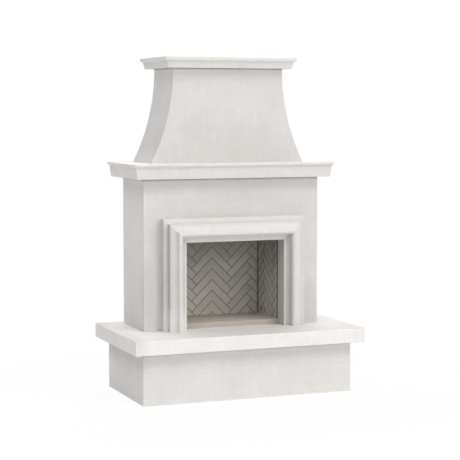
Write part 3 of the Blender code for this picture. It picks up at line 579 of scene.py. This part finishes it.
def growShell(outerLevels, innerLevels):  # two towers joined at their rims
    bm = bmesh.new()
    outside = growTower(bm, outerLevels)
    inside = growTower(bm, innerLevels)
    for outerFace, innerFace in zip(outside, inside):
        rims = [*outerFace.edges, *innerFace.edges]
        bmesh.ops.delete(bm, geom=[outerFace, innerFace], context="FACES_ONLY")
        fillRing(bm, rims)
    turnOut(bm)
    return bm


def growRod(middle, radius, length, sides):  # cylinder along X
    bm = bmesh.new()
    place = Matrix.Translation(middle) @ Matrix.Rotation(pi / 2, 4, "Y")
    bmesh.ops.create_cone(bm, cap_ends=True, segments=sides, radius1=radius, radius2=radius, depth=length,
                          matrix=place)
    return bm


def softenEdges(bm, width, segments=3, chosen=None):
    sharp = [edge for edge in bm.edges if len(edge.link_faces) == 2
             and edge.calc_face_angle() > radians(24) and (chosen is None or chosen(edge))]
    bmesh.ops.bevel(bm, geom=sharp, offset=width, offset_type="OFFSET", segments=segments, profile=0.5,
                    affect="EDGES", material=-1, clamp_overlap=True)


def arcPoints(centre, radii, start, end, steps):
    angles = [radians(start + (end - start) * k / steps) for k in range(steps + 1)]
    return [(centre[0] + radii[0] * cos(angle), centre[1] + radii[1] * sin(angle)) for angle in angles]


# Cast pieces, from the ground up. A spot of painted shade or light is its middle, its reach, how strong it is
# and its colour.

def makeCasting(node, bm, sizes):
    softenEdges(bm, sizes["arris"])
    makePiece(node, bm, [concreteFinish(node, **sizes["concrete"])])


def coveProfile(sizes, low, high):  # steps out from the foot, then hollow up to a fillet
    out, cove = sizes["overhang"], sizes["cove"]
    centre = (out, high.z - sizes["fillet"] - cove)
    hollow = arcPoints(centre, (out - sizes["waist"], cove), 180, 90, sizes["steps"])
    return [(sizes["foot"], low.z), *hollow, (out, high.z)]


# painted shade close under the hearth, and on the left face below its overhang
plinth = {"wall": 0.025, "arris": 0.0022, "concrete": {
    "lift": 1.01, "ledge": 0.031, "stains": [((-0.77, 0.0, 0.37), (0.06, 0.8, 0.20), 0.22, "grime")]}}
bm = growShell(straightLevels("base_plinth"), straightLevels("base_plinth", plinth["wall"]))
makeCasting("base_plinth", bm, plinth)

# painted shade on the hearth top in front of the opening and along the body, and on the left end
hearth = {"wellWall": 0.025, "overhang": 0.0755, "skin": 0.030, "arris": 0.0025, "concrete": {
    "lift": 1.18, "patches": 5.5, "stains": [((0, -0.04, 0.447), (0.76, 0.34, 0.2), 0.26, "grime"),
                                             ((-0.86, -0.1, 0.40), (0.13, 0.9, 0.5), 0.26, "grime")]}}
low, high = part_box("hearth_slab")
bm = bmesh.new()
bottom, top = growTower(bm, straightLevels("hearth_slab"))
bmesh.ops.inset_individual(bm, faces=[bottom], thickness=hearth["overhang"] + hearth["wellWall"])
drawOut(bm, bottom, (0, 0, high.z - hearth["skin"] - low.z))
turnOut(bm)
makeCasting("hearth_slab", bm, hearth)

# painted shade under the mantel, in the opening, above the header, beside the right jamb's foot and along the
# left front edge; painted light high on the left face
surround = {"wall": 0.025, "frontWall": 0.043, "openingHalf": 0.362, "openingHeight": 0.605, "arris": 0.0022,
            "concrete": {"lift": 0.94, "ledge": 0.027, "soot": 0.5, "stains": [
                ((0.08, -0.08, 1.27), (0.62, 0.15, 0.16), 0.14, "grime"),
                ((0.58, -0.08, 0.52), (0.12, 0.15, 0.26), 0.22, "grime"),
                ((-0.625, -0.08, 0.70), (0.05, 0.08, 0.30), 0.18, "grime"),
                ((-0.67, 0.10, 1.12), (0.04, 0.5, 0.44), 0.55, "worn")]}}
low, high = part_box("body_shell")
wall, frontWall, openingHalf = surround["wall"], surround["frontWall"], surround["openingHalf"]
outerLevels = straightLevels("body_shell")
innerLevels = [(halfX - wall, halfY - (frontWall + wall) / 2, z, middleY + (frontWall - wall) / 2)
               for halfX, halfY, z, middleY in outerLevels]
bm = growShell(outerLevels, innerLevels)
openingTop = low.z + surround["openingHeight"]
for spot, facing in (((-openingHalf, 0, 0), (1, 0, 0)), ((openingHalf, 0, 0), (1, 0, 0)),
                     ((0, 0, openingTop), (0, 0, 1))):
    cutAt(bm, spot, facing, clear=False, dist=1e-6)
doomed = []
for face in bm.faces:
    at = face.calc_center_median()
    if abs(at.x) < openingHalf and at.z < openingTop and at.y < low.y + frontWall + 1e-4:
        doomed.append(face)
bmesh.ops.delete(bm, geom=doomed, context="FACES")
level = [edge for edge in bm.edges
         if edge.is_boundary and abs(edge.verts[0].co.y - edge.verts[1].co.y) < 1e-5]
bmesh.ops.bridge_loops(bm, edges=level)  # the two sides and the top of the opening
mergeFlat(bm)
turnOut(bm)
makeCasting("body_shell", bm, surround)

# painted light on the mantel's top faces
mantel = {"foot": 0.066, "waist": 0.074, "overhang": 0.089, "fillet": 0.016, "cove": 0.026,
          "holeHalfX": 0.400, "holeHalfY": 0.145, "holeMiddle": 0.17175, "arris": 0.0018, "steps": 14,
          "concrete": {"lift": 1.01, "patches": 6.0, "bleach": 1.0}}
low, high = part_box("mantel_shelf")
halfX, halfY, _, middleY = outerLevels[0]
bm = growShell([(halfX + out, halfY + out, z, middleY) for out, z in coveProfile(mantel, low, high)],
               [(mantel["holeHalfX"], mantel["holeHalfY"], z, mantel["holeMiddle"]) for z in (low.z, high.z)])
makeCasting("mantel_shelf", bm, mantel)

# painted shade close under the cap and round the shroud's foot, and painted light low on its left face
shroud = {"baseHalf": 0.5675, "topHalf": 0.4055, "wall": 0.025, "arris": 0.0022, "steps": 40,
          "concrete": {"lift": 0.955, "ledge": 0.018, "stains": [
              ((0.02, 0.0, 1.64), (0.55, 0.4, 0.30), 0.13, "grime"),
              ((-0.58, 0.19, 1.61), (0.07, 0.4, 0.14), 0.70, "worn")]}}
low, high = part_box("chimney_shroud")
_, halfY, _, middleY = straightLevels("chimney_shroud")[0]
rise = high.z - low.z
spread = shroud["baseHalf"] - shroud["topHalf"]
sweepRadius = (rise ** 2 + spread ** 2) / (2 * spread)
outerLevels = []
for k in range(shroud["steps"] + 1):
    z = rise * k / shroud["steps"]
    half = shroud["topHalf"] + sweepRadius - sqrt(sweepRadius ** 2 - (rise - z) ** 2)
    outerLevels.append((half, halfY, low.z + z, middleY))
innerLevels = [(half - shroud["wall"], deep - shroud["wall"], z, y) for half, deep, z, y in outerLevels]
makeCasting("chimney_shroud", growShell(outerLevels, innerLevels), shroud)

# painted shade on the cap's left end; the arris band at full strength is wear and painted highlight along the
# cap's edges
cap = {"foot": 0.053, "waist": 0.061, "overhang": 0.079, "fillet": 0.022, "cove": 0.017,
       "holeHalfX": 0.195, "holeHalfY": 0.167, "ledge": 0.020, "ledgeHeight": 0.012, "arris": 0.0016,
       "steps": 10,
       "concrete": {"lift": 1.06, "patches": 6.0, "wear": 1.0,
                    "stains": [((-0.49, 0.1, 2.28), (0.10, 0.6, 0.3), 0.10, "grime")]}}
low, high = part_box("chimney_cap")
ledgeZ = low.z + cap["ledgeHeight"]
holes = [(0, low.z), (0, ledgeZ), (cap["ledge"], ledgeZ), (cap["ledge"], high.z)]
bm = growShell([(shroud["topHalf"] + out, halfY + out, z, middleY) for out, z in coveProfile(cap, low, high)],
               [(cap["holeHalfX"] + out, cap["holeHalfY"] + out, z, middleY) for out, z in holes])
makeCasting("chimney_cap", bm, cap)
print("cast pieces made")


# Moulding round the fire opening

moulding = {"half": 0.362, "height": 0.605, "reach": 0.163, "step": 0.129, "cove": 0.0755, "bead": 0.062,
            "ovolo": 0.038, "fillet": 0.0155, "outerRise": 0.0555, "stepRise": 0.089, "coveRise": 0.110,
            "beadRise": 0.118, "ovoloRise": 0.088, "filletRise": 0.065, "mitreGap": 0.0005, "overrun": 1.2,
            "arris": 0.0010, "smoothBelow": 24, "steps": 9, "coveSteps": 6}
# the header is made paler than the jambs, painted light on the same concrete; painted light at the left
# jamb's foot
jambConcrete = {"lift": 0.95, "patches": 7.0, "soot": 0.5,
                "stains": [((-0.45, -0.16, 0.47), (0.18, 0.15, 0.15), 0.75, "worn")]}
headerConcrete = {"lift": 1.04, "patches": 7.0, "soot": 0.5}


def mouldingOutline():  # distance from the opening and height off the wall, from the opening outwards
    m = moulding
    points = [(0, 0), (0, m["filletRise"]), (m["fillet"], m["filletRise"])]
    for x, z, toX, toZ, start, end, steps in (("fillet", "ovoloRise", "ovolo", "filletRise", -90, 0, "steps"),
                                              ("bead", "ovoloRise", "ovolo", "beadRise", 180, 90, "steps"),
                                              ("bead", "coveRise", "cove", "beadRise", 90, 0, "coveSteps"),
                                              ("step", "coveRise", "cove", "stepRise", 180, 270, "steps")):
        radii = (abs(m[toX] - m[x]), abs(m[toZ] - m[z]))
        points += arcPoints((m[x], m[z]), radii, start, end, m[steps])[1:]
    return points + [(m["step"], m["outerRise"]), (m["reach"], m["outerRise"]), (m["reach"], 0)]


def makeMoulding(node, name, start, run, cuts, concrete):  # the outline drawn out, then cut at its mitres
    bm = bmesh.new()
    outline = bm.faces.new([bm.verts.new(point) for point in start])
    drawn = pick(bmesh.ops.extrude_face_region(bm, geom=[outline]), BMVert)
    bmesh.ops.translate(bm, vec=run, verts=drawn)
    for spot, facing in cuts:
        trimAndFill(bm, spot, facing)
    turnOut(bm)
    flats = [(Vector(spot), Vector(facing).normalized()) for spot, facing in cuts]

    def awayFromMitre(edge):
        return not any(all(abs((vert.co - spot).dot(facing)) < 1e-5 for vert in edge.verts)
                       for spot, facing in flats)

    softenEdges(bm, moulding["arris"], 2, awayFromMitre)
    makePiece(node, bm, [concreteFinish(node, **concrete)], name, smoothBelow=moulding["smoothBelow"])


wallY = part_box("moulding_header")[1].y
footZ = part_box("moulding_left")[0].z
headZ = footZ + moulding["height"]
half = moulding["half"]
extra = moulding["reach"] * moulding["overrun"]
outline = mouldingOutline()
# painted shade in the hollows, on the outer step darker on the left jamb than on the right
for side, sign, outerShade in (("Left", -1, 0.8), ("Right", 1, 0.3)):
    start = [(sign * (half + out), wallY - rise, footZ) for out, rise in outline]
    mitre = ((sign * half, 0, headZ - moulding["mitreGap"]), (-sign, 0, 1))
    hollow = {"axis": "X", "start": half, "inner": 0.85, "outer": outerShade}
    makeMoulding("moulding_" + side.lower(), "jamb" + side, start, (0, 0, moulding["height"] + extra),
                 [mitre], {**jambConcrete, "hollow": hollow})
start = [(-half - extra, wallY - rise, headZ + out) for out, rise in outline]
mitres = [((sign * half, 0, headZ), (sign, 0, -1)) for sign in (-1, 1)]
hollow = {"axis": "Z", "start": headZ, "inner": 0.25, "outer": 0.3}
makeMoulding("moulding_header", "jambHeader", start, (2 * (half + extra), 0, 0), mitres,
             {**headerConcrete, "hollow": hollow})
print("moulding made")


# Firebox lining

lining = {"brickWidth": 0.0555, "brickLength": 0.221, "groove": 0.0045, "depth": 0.003, "sink": 0.008,
          "thickness": 0.026, "arris": 0.0009, "overrun": 0.041, "backPoint": 0.055, "sidePeak": 0.072,
          "sidePeakFromBack": 0.135, "backCornerGap": 0.007, "sideCornerGap": 0.004}


def brickRuns(startX, endX, height, peakX, peakZ):  # middle of each brick and its slope, as in the solid
    wide, long = lining["brickWidth"], lining["brickLength"]
    columns = int((endX - startX) / (sqrt(2) * long)) + 3
    rows = int(height / (sqrt(2) * wide)) + int(long / wide) + 4
    margin = long * 0.7
    for column in range(-columns, columns + 1):
        for row in range(-rows, rows + 1):
            along = column * long - row * wide
            across = column * long + row * wide
            for a, b, slope in ((along - wide - long / 2, across + wide / 2, 1),
                                (along - wide / 2, across + long / 2, -1)):
                x = peakX + (a + b) / sqrt(2)
                z = peakZ + (a - b) / sqrt(2)
                if startX - margin < x < endX + margin and -margin < z < height + margin:
                    yield x, z, slope


def toneEachBrick(bm, dice):  # no brick touches another, so each is an island of faces
    tone = bm.faces.layers.float.new("brickTone")
    seen = set()
    for first in bm.faces:
        found = [] if first in seen else [first]
        own = dice.random()
        while found:
            face = found.pop()
            seen.add(face)
            face[tone] = own
            # faces that don't face the front, the groove walls, take the grooves' painted shade
            face.material_index = 0 if face.normal.y < -0.6 else 1
            for edge in face.edges:
                found += [near for near in edge.link_faces if near not in seen]


def growBricks(bm, startX, endX, height, peakX, peakZ, mirrored, seed):
    gap = lining["groove"]
    deep = lining["depth"] + lining["sink"]
    size = Matrix.Diagonal((lining["brickLength"] - gap, deep, lining["brickWidth"] - gap, 1))
    for x, z, slope in brickRuns(startX, endX, height, peakX, peakZ):
        place = Matrix.Translation((x, deep / 2, z)) @ Matrix.Rotation(-slope * pi / 4, 4, "Y") @ size
        bmesh.ops.create_cube(bm, size=1, matrix=place)
    for spot, facing in (((startX, 0, 0), (-1, 0, 0)), ((0, 0, gap / 2), (0, 0, -1)),
                         ((0, 0, height - gap / 2), (0, 0, 1))):
        trimAndFill(bm, spot, facing)
    if mirrored:  # bricks cut at the middle run on into their mirror images
        cutAt(bm, (0, 0, 0), (1, 0, 0))
        bmesh.ops.mirror(bm, geom=allOf(bm), matrix=Matrix.Identity(4), merge_dist=1e-5, axis="X")
        turnOut(bm)
    else:
        trimAndFill(bm, (endX, 0, 0), (1, 0, 0))
    front = lining["depth"] / 2
    softenEdges(bm, lining["arris"], 2, lambda edge: min(vert.co.y for vert in edge.verts) < front)
    toneEachBrick(bm, random.Random(seed))


def makePanel(side, width, height, bricks, place, seed):  # bricks: where they start and end, and a peak
    startX, endX, peakX, peakZ = bricks
    mirrored = endX == 0
    bm = bmesh.new()
    growBricks(bm, startX, endX, height, peakX, peakZ, mirrored, seed)
    size = Matrix.Diagonal((width, lining["thickness"] - lining["depth"], height, 1))
    middleX = 0 if mirrored else width / 2
    middle = Matrix.Translation((middleX, (lining["thickness"] + lining["depth"]) / 2, height / 2))
    # the slab behind the bricks, seen in the grooves, takes the grooves' painted shade too
    for corner in bmesh.ops.create_cube(bm, size=1, matrix=middle @ size)["verts"]:
        for face in corner.link_faces:
            face.material_index = 1
    bmesh.ops.transform(bm, matrix=place, verts=bm.verts[:])
    finishes = [backBrick, backGrout] if mirrored else [sideBrick, sideGrout]
    return makePiece("firebox_" + side + "_panel", bm, finishes, side + "Panel")


low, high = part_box("firebox_back_panel")
height = high.z - low.z
backBricks = (lining["backCornerGap"] - surround["openingHalf"], 0, lining["overrun"],
              lining["backPoint"] + lining["overrun"])
makePanel("back", high.x - low.x, height, backBricks, Matrix.Translation((0, low.y, low.z)), 3)
low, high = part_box("firebox_right_panel")
sideWidth = high.y - low.y
turned = Matrix.Translation((low.x, high.y, low.z)) @ Matrix.Rotation(-pi / 2, 4, "Z")
sideBricks = (lining["sideCornerGap"], sideWidth - lining["groove"] / 2, lining["sidePeakFromBack"],
              lining["sidePeak"])
rightPanel = makePanel("right", sideWidth, height, sideBricks, turned, 5)
low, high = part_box("firebox_left_panel")
turned = Matrix.Translation((high.x, low.y, low.z)) @ Matrix.Rotation(pi / 2, 4, "Z")
sideBricks = (lining["groove"] / 2, sideWidth - lining["sideCornerGap"],
              sideWidth - lining["sidePeakFromBack"], lining["sidePeak"])
makePanel("left", sideWidth, height, sideBricks, turned, 7)

knockout = {"radius": 0.016, "play": 0.0006, "rim": 0.004, "dish": 0.0015, "arris": 0.0005, "drill": 0.06,
            "sides": 40}
low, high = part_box("gas_knockout_plug")
middle = (low + high) / 2
bm = growRod(middle, knockout["radius"] + knockout["play"], knockout["drill"], knockout["sides"])
cutter = placeObject("knockoutCutter", meshFrom("knockoutCutter", bm))
cutting = rightPanel.modifiers.new("knockoutHole", "BOOLEAN")
cutting.operation = "DIFFERENCE"
cutting.solver = "EXACT"
cutting.use_self = True
cutting.object = cutter
rightPanel.modifiers.move(1, 0)
bpy.context.view_layer.update()
drilled = bpy.data.meshes.new_from_object(rightPanel.evaluated_get(bpy.context.evaluated_depsgraph_get()))
rightPanel.modifiers.remove(cutting)
rightPanel.data = drilled
bpy.data.objects.remove(cutter)

bm = growRod(middle, knockout["radius"], high.x - low.x, knockout["sides"])
front = min(bm.faces, key=lambda face: face.calc_center_median().x)
bmesh.ops.inset_individual(bm, faces=[front], thickness=knockout["rim"])
bmesh.ops.inset_individual(bm, faces=[front], thickness=knockout["rim"] / 3, depth=-knockout["dish"])
bmesh.ops.inset_individual(bm, faces=[front], thickness=knockout["rim"], depth=knockout["dish"] / 2)
softenEdges(bm, knockout["arris"], 2)
makePiece("gas_knockout_plug", bm, [dustySteel], "gasKnockout")

floorTile = {"arris": 0.0022}
bm = bmesh.new()
growTower(bm, straightLevels("firebox_floor"))
turnOut(bm)
softenEdges(bm, floorTile["arris"])
makePiece("firebox_floor", bm)
print("firebox lining made")


# Steel that keeps the solid's form, with its arrises eased

def easedCopy(node, width, cornerWidth=0.0, **named):
    bm = bmesh.new()
    bm.from_mesh(frame["nodes"][node].data)
    bmesh.ops.remove_doubles(bm, verts=bm.verts[:], dist=1e-5)
    mergeFlat(bm)
    if cornerWidth:
        softenEdges(bm, cornerWidth, 3, lambda edge: edge.calc_length() > 0.1 and edge.is_convex)
    softenEdges(bm, width, 2)
    makePiece(node, bm, **named)


steelwork = {"retainerArris": 0.0006, "tubeCorner": 0.0045, "tubeArris": 0.0004, "plateArris": 0.0007}
for side in ("Left", "Right"):
    easedCopy("panel_retainer_" + side.lower(), steelwork["retainerArris"], finishes=[dustySteel],
              name="retainer" + side)
for node, name in (("lintel_angle", "lintelAngle"), ("damper_frame", "damperFrame"),
                   ("arrestor_frame", "arrestorRim")):
    easedCopy(node, steelwork["plateArris"], name=name)
for node in sorted(frame["nodes"]):
    if node.startswith(("base_post", "base_rail", "base_joist", "body_post", "body_rail")):
        easedCopy(node, steelwork["tubeArris"], steelwork["tubeCorner"])
print("steelwork eased")


# Damper parts that turn

damper = {"plateArris": 0.0006, "rodSides": 32, "rodChamfer": 0.0008, "handleRadius": 0.004,
          "handleDrop": 0.100, "handleArris": 0.0008, "hookRadius": 0.014, "handleForward": 0.060,
          "plateHalf": 0.002, "seat": 0.0003}
easedCopy("damper_plate", damper["plateArris"], body="damper")
low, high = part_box("damper_rod")
axis = (low + high) / 2
bm = growRod(axis, (high.z - low.z) / 2, high.x - low.x, damper["rodSides"])
softenEdges(bm, damper["rodChamfer"], 2)
makePiece("damper_rod", bm, body="damper")

handleY = axis.y - damper["handleForward"]
handleTop = axis.z - damper["plateHalf"] - damper["seat"]
hookZ = handleTop - damper["handleDrop"]
bm = bmesh.new()
ring = bmesh.ops.create_circle(bm, cap_ends=True, segments=20, radius=damper["handleRadius"],
                               matrix=Matrix.Translation((0, handleY, handleTop)))["verts"]
tip = drawOut(bm, ring[0].link_faces[0], (0, 0, hookZ - handleTop))
bmesh.ops.spin(bm, geom=[tip, *tip.edges, *tip.verts], cent=(damper["hookRadius"], handleY, hookZ),
               axis=(0, -1, 0), angle=pi, steps=20, use_duplicate=False)
turnOut(bm)
softenEdges(bm, damper["handleArris"], 2)
makePiece("damper_handle", bm, body="damper")
print("damper made")


# Flue end and spark arrestor, seen from above

flue = {"sides": 72, "sheet": 0.0012, "beadBelow": 0.022, "bead": 0.0022, "play": 0.0003,
        "plateArris": 0.0004}


def roundPipe(node, radius, levels):  # levels are heights with how far the wall steps in there
    low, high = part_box(node)
    middleY = (low.y + high.y) / 2
    bm = bmesh.new()
    bmesh.ops.create_circle(bm, segments=flue["sides"], radius=radius,
                            matrix=Matrix.Translation((0, middleY, low.z)))
    edges = bm.edges[:]
    wide, z = radius, low.z
    for nextZ, stepIn in [*levels, (high.z, 0)]:
        made = bmesh.ops.extrude_edge_only(bm, edges=edges)
        verts, edges = pick(made, BMVert), pick(made, BMEdge)
        grow = (radius - stepIn) / wide
        bmesh.ops.scale(bm, vec=(grow, grow, 1), space=Matrix.Translation((0, -middleY, 0)), verts=verts)
        bmesh.ops.translate(bm, vec=(0, 0, nextZ - z), verts=verts)
        wide, z = radius - stepIn, nextZ
    turnOut(bm)
    bmesh.ops.solidify(bm, geom=bm.faces[:], thickness=flue["sheet"])
    makePiece(node, bm)


def plateWithRoundHole(node, name, holeRadius, holeY):
    low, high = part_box(node)
    at = (low + high) / 2
    size = high - low
    bm = bmesh.new()
    plate = growPlate(bm, size.x / 2, size.y / 2, low.z, at.y)
    bmesh.ops.delete(bm, geom=[plate], context="FACES_ONLY")
    bmesh.ops.subdivide_edges(bm, edges=bm.edges[:], cuts=flue["sides"] // 4 - 1)
    bmesh.ops.create_circle(bm, segments=flue["sides"], radius=holeRadius,
                            matrix=Matrix.Translation((0, holeY, low.z)) @ Matrix.Rotation(pi / 4, 4, "Z"))
    fillRing(bm, bm.edges[:])
    raised = pick(bmesh.ops.extrude_face_region(bm, geom=bm.faces[:]), BMVert)
    bmesh.ops.translate(bm, vec=(0, 0, size.z), verts=raised)
    turnOut(bm)
    softenEdges(bm, flue["plateArris"], 1)
    makePiece(node, bm, name=name)


linerLow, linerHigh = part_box("flue_liner")
flueY = (linerLow.y + linerHigh.y) / 2
linerRadius = (linerHigh.x - linerLow.x) / 2
casingLow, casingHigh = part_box("flue_casing")
beadZ = linerHigh.z - flue["beadBelow"]
swage = [(beadZ - flue["bead"], 0), (beadZ, flue["bead"] / 2), (beadZ + flue["bead"], 0)]
roundPipe("flue_liner", linerRadius, swage)
roundPipe("flue_casing", (casingHigh.x - casingLow.x) / 2, [])
plateWithRoundHole("flue_anchor_plate", "flueAnchorPlate", linerRadius - flue["sheet"], flueY)
plateWithRoundHole("flue_flashing", "flueFlashing", linerRadius + flue["play"], flueY)
plateWithRoundHole("flue_support_plate", "flueSupport", linerRadius + flue["play"], flueY)

screen = {"wire": 0.0008, "sway": 0.0007, "pitchX": 0.0115, "pitchY": 0.0119, "margin": 0.0015}


def growWire(bm, start, along, pitch, count, flip):  # one wire that passes over and under the ones it crosses
    across = Vector((0, 0, 1)).cross(along)
    turn = Matrix((along, across, Vector((0, 0, 1)))).transposed().to_4x4() @ Matrix.Rotation(pi / 2, 4, "Y")
    first = start + Vector((0, 0, flip * screen["sway"]))
    ring = bmesh.ops.create_circle(bm, cap_ends=True, segments=6, radius=screen["wire"],
                                   matrix=Matrix.Translation(first) @ turn)["verts"]
    tip = ring[0].link_faces[0]
    for step in range(count):
        fall = -2 * screen["sway"] * flip * (1 if step % 2 == 0 else -1)
        tip = drawOut(bm, tip, along * pitch + Vector((0, 0, fall)))


low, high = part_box("arrestor_mesh")
middleZ = (low.z + high.z) / 2
margin = screen["margin"]
countX = round((high.x - low.x) / screen["pitchX"])
countY = round((high.y - low.y) / screen["pitchY"])
pitchX = (high.x - low.x - 2 * margin) / countX
pitchY = (high.y - low.y - 2 * margin) / countY
bm = bmesh.new()
for k in range(countY + 1):
    start = Vector((low.x + margin, low.y + margin + k * pitchY, middleZ))
    growWire(bm, start, Vector((1, 0, 0)), pitchX, countX, 1 - 2 * (k % 2))
for k in range(countX + 1):
    start = Vector((low.x + margin + k * pitchX, low.y + margin, middleZ))
    growWire(bm, start, Vector((0, 1, 0)), pitchY, countY, 2 * (k % 2) - 1)
turnOut(bm)
makePiece("arrestor_mesh", bm, name="arrestorScreen")
print("flue end and screen made")


# Solids that stay as they are, with their finishes

for name, slot in slots.items():
    node = frame["nodes"][name]
    if not node.hide_render:
        for place in node.material_slots:
            place.material = slotFinishes[slot]
print("finishes set on the solids that stay")


# Floor, backdrop, light and camera

stage = {"floor": (0.945, 0.943, 0.937, 1), "floorHalf": 30.0, "floorZ": -0.0004, "nearGlow": 0.93,
         "fadeStart": 1.0, "fadeEnd": 2.2, "ambient": (0.97, 0.985, 1.0, 1), "ambientStrength": 0.02,
         "lampSpread": 36}
white = (1, 1, 1, 1)
warm, clear, cool = (1.0, 0.988, 0.97), (0.99, 0.997, 1.0), (0.98, 0.993, 1.0)
lamps = {  # turned from straight in front towards the right and raised above level, in degrees, then power
    "frontRightLamp": (40, 42, 1.29, warm), "frontLeftLamp": (-50, 42, 0.63, (1.0, 0.997, 0.99)),
    "backLeftLamp": (-150, 42, 0.91, cool), "backRightLamp": (150, 42, 0.98, clear),
    "topLamp": (-15, 55, 0.50, clear), "lowFrontLamp": (15, 12, 0.35, warm),
    "lowRightLamp": (60, 12, 0.43, warm), "lowLeftLamp": (-130, 12, 0.27, cool),
}


def directRays(tree):  # what the camera sees, also by way of a mirror or glass
    seen = addNode(tree, "ShaderNodeLightPath").outputs
    direct = doMath(tree, "MAXIMUM", seen["Is Camera Ray"], seen["Is Glossy Ray"])
    return doMath(tree, "MAXIMUM", direct, seen["Is Transmission Ray"])


floorFinish, tree, spot = startFinish("studioFloor")
tree.nodes.remove(tree.nodes["Principled BSDF"])
matt = addNode(tree, "ShaderNodeBsdfDiffuse", {"Color": stage["floor"]}).outputs[0]
shining = addNode(tree, "ShaderNodeEmission", {"Color": white, "Strength": 1.0}).outputs[0]
away = doVector(tree, "LENGTH", spot)
glow = mapRange(tree, away, (stage["fadeStart"], stage["fadeEnd"]), (stage["nearGlow"], 1.0))
share = times(tree, directRays(tree), glow)
surface = addNode(tree, "ShaderNodeMixShader", {0: share, 1: matt, 2: shining}).outputs[0]
tree.links.new(surface, tree.nodes["Material Output"].inputs["Surface"])

bm = bmesh.new()
growPlate(bm, stage["floorHalf"], stage["floorHalf"])
floor = placeObject("studioFloor", meshFrom("studioFloor", bm, [floorFinish]))
floor.location.z = stage["floorZ"]

world = bpy.data.worlds.new("studioWorld")
stageScene.world = world
world.use_nodes = True
tree = world.node_tree
tree.nodes.clear()
dim = {"Color": stage["ambient"], "Strength": stage["ambientStrength"]}
sky = addNode(tree, "ShaderNodeBackground", dim).outputs[0]
backdrop = addNode(tree, "ShaderNodeBackground", {"Color": white, "Strength": 1.0}).outputs[0]
surface = addNode(tree, "ShaderNodeMixShader", {0: directRays(tree), 1: sky, 2: backdrop}).outputs[0]
addNode(tree, "ShaderNodeOutputWorld", {"Surface": surface})

for name, (turn, raised, power, colour) in lamps.items():
    light = bpy.data.lights.new(name, "SUN")
    light.angle = radians(stage["lampSpread"])
    light.energy = power
    light.color = colour
    placeObject(name, light).rotation_euler = (radians(90 - raised), 0, radians(turn))

shot = {"at": (-3.7354, -9.4074, 1.9468), "turn": -21.7331, "tilt": -4.6778, "lens": 113.752, "sensor": 36.0,
        "farthest": 200.0}
camera = placeObject("photoCamera", bpy.data.cameras.new("photoCamera"))
camera.location = shot["at"]
camera.rotation_euler = (radians(90 + shot["tilt"]), 0, radians(shot["turn"]))
camera.data.lens = shot["lens"]
camera.data.sensor_width = shot["sensor"]
camera.data.clip_end = shot["farthest"]
stageScene.camera = camera
stageScene.view_settings.view_transform = "Standard"
print("stage, lamps and camera set")
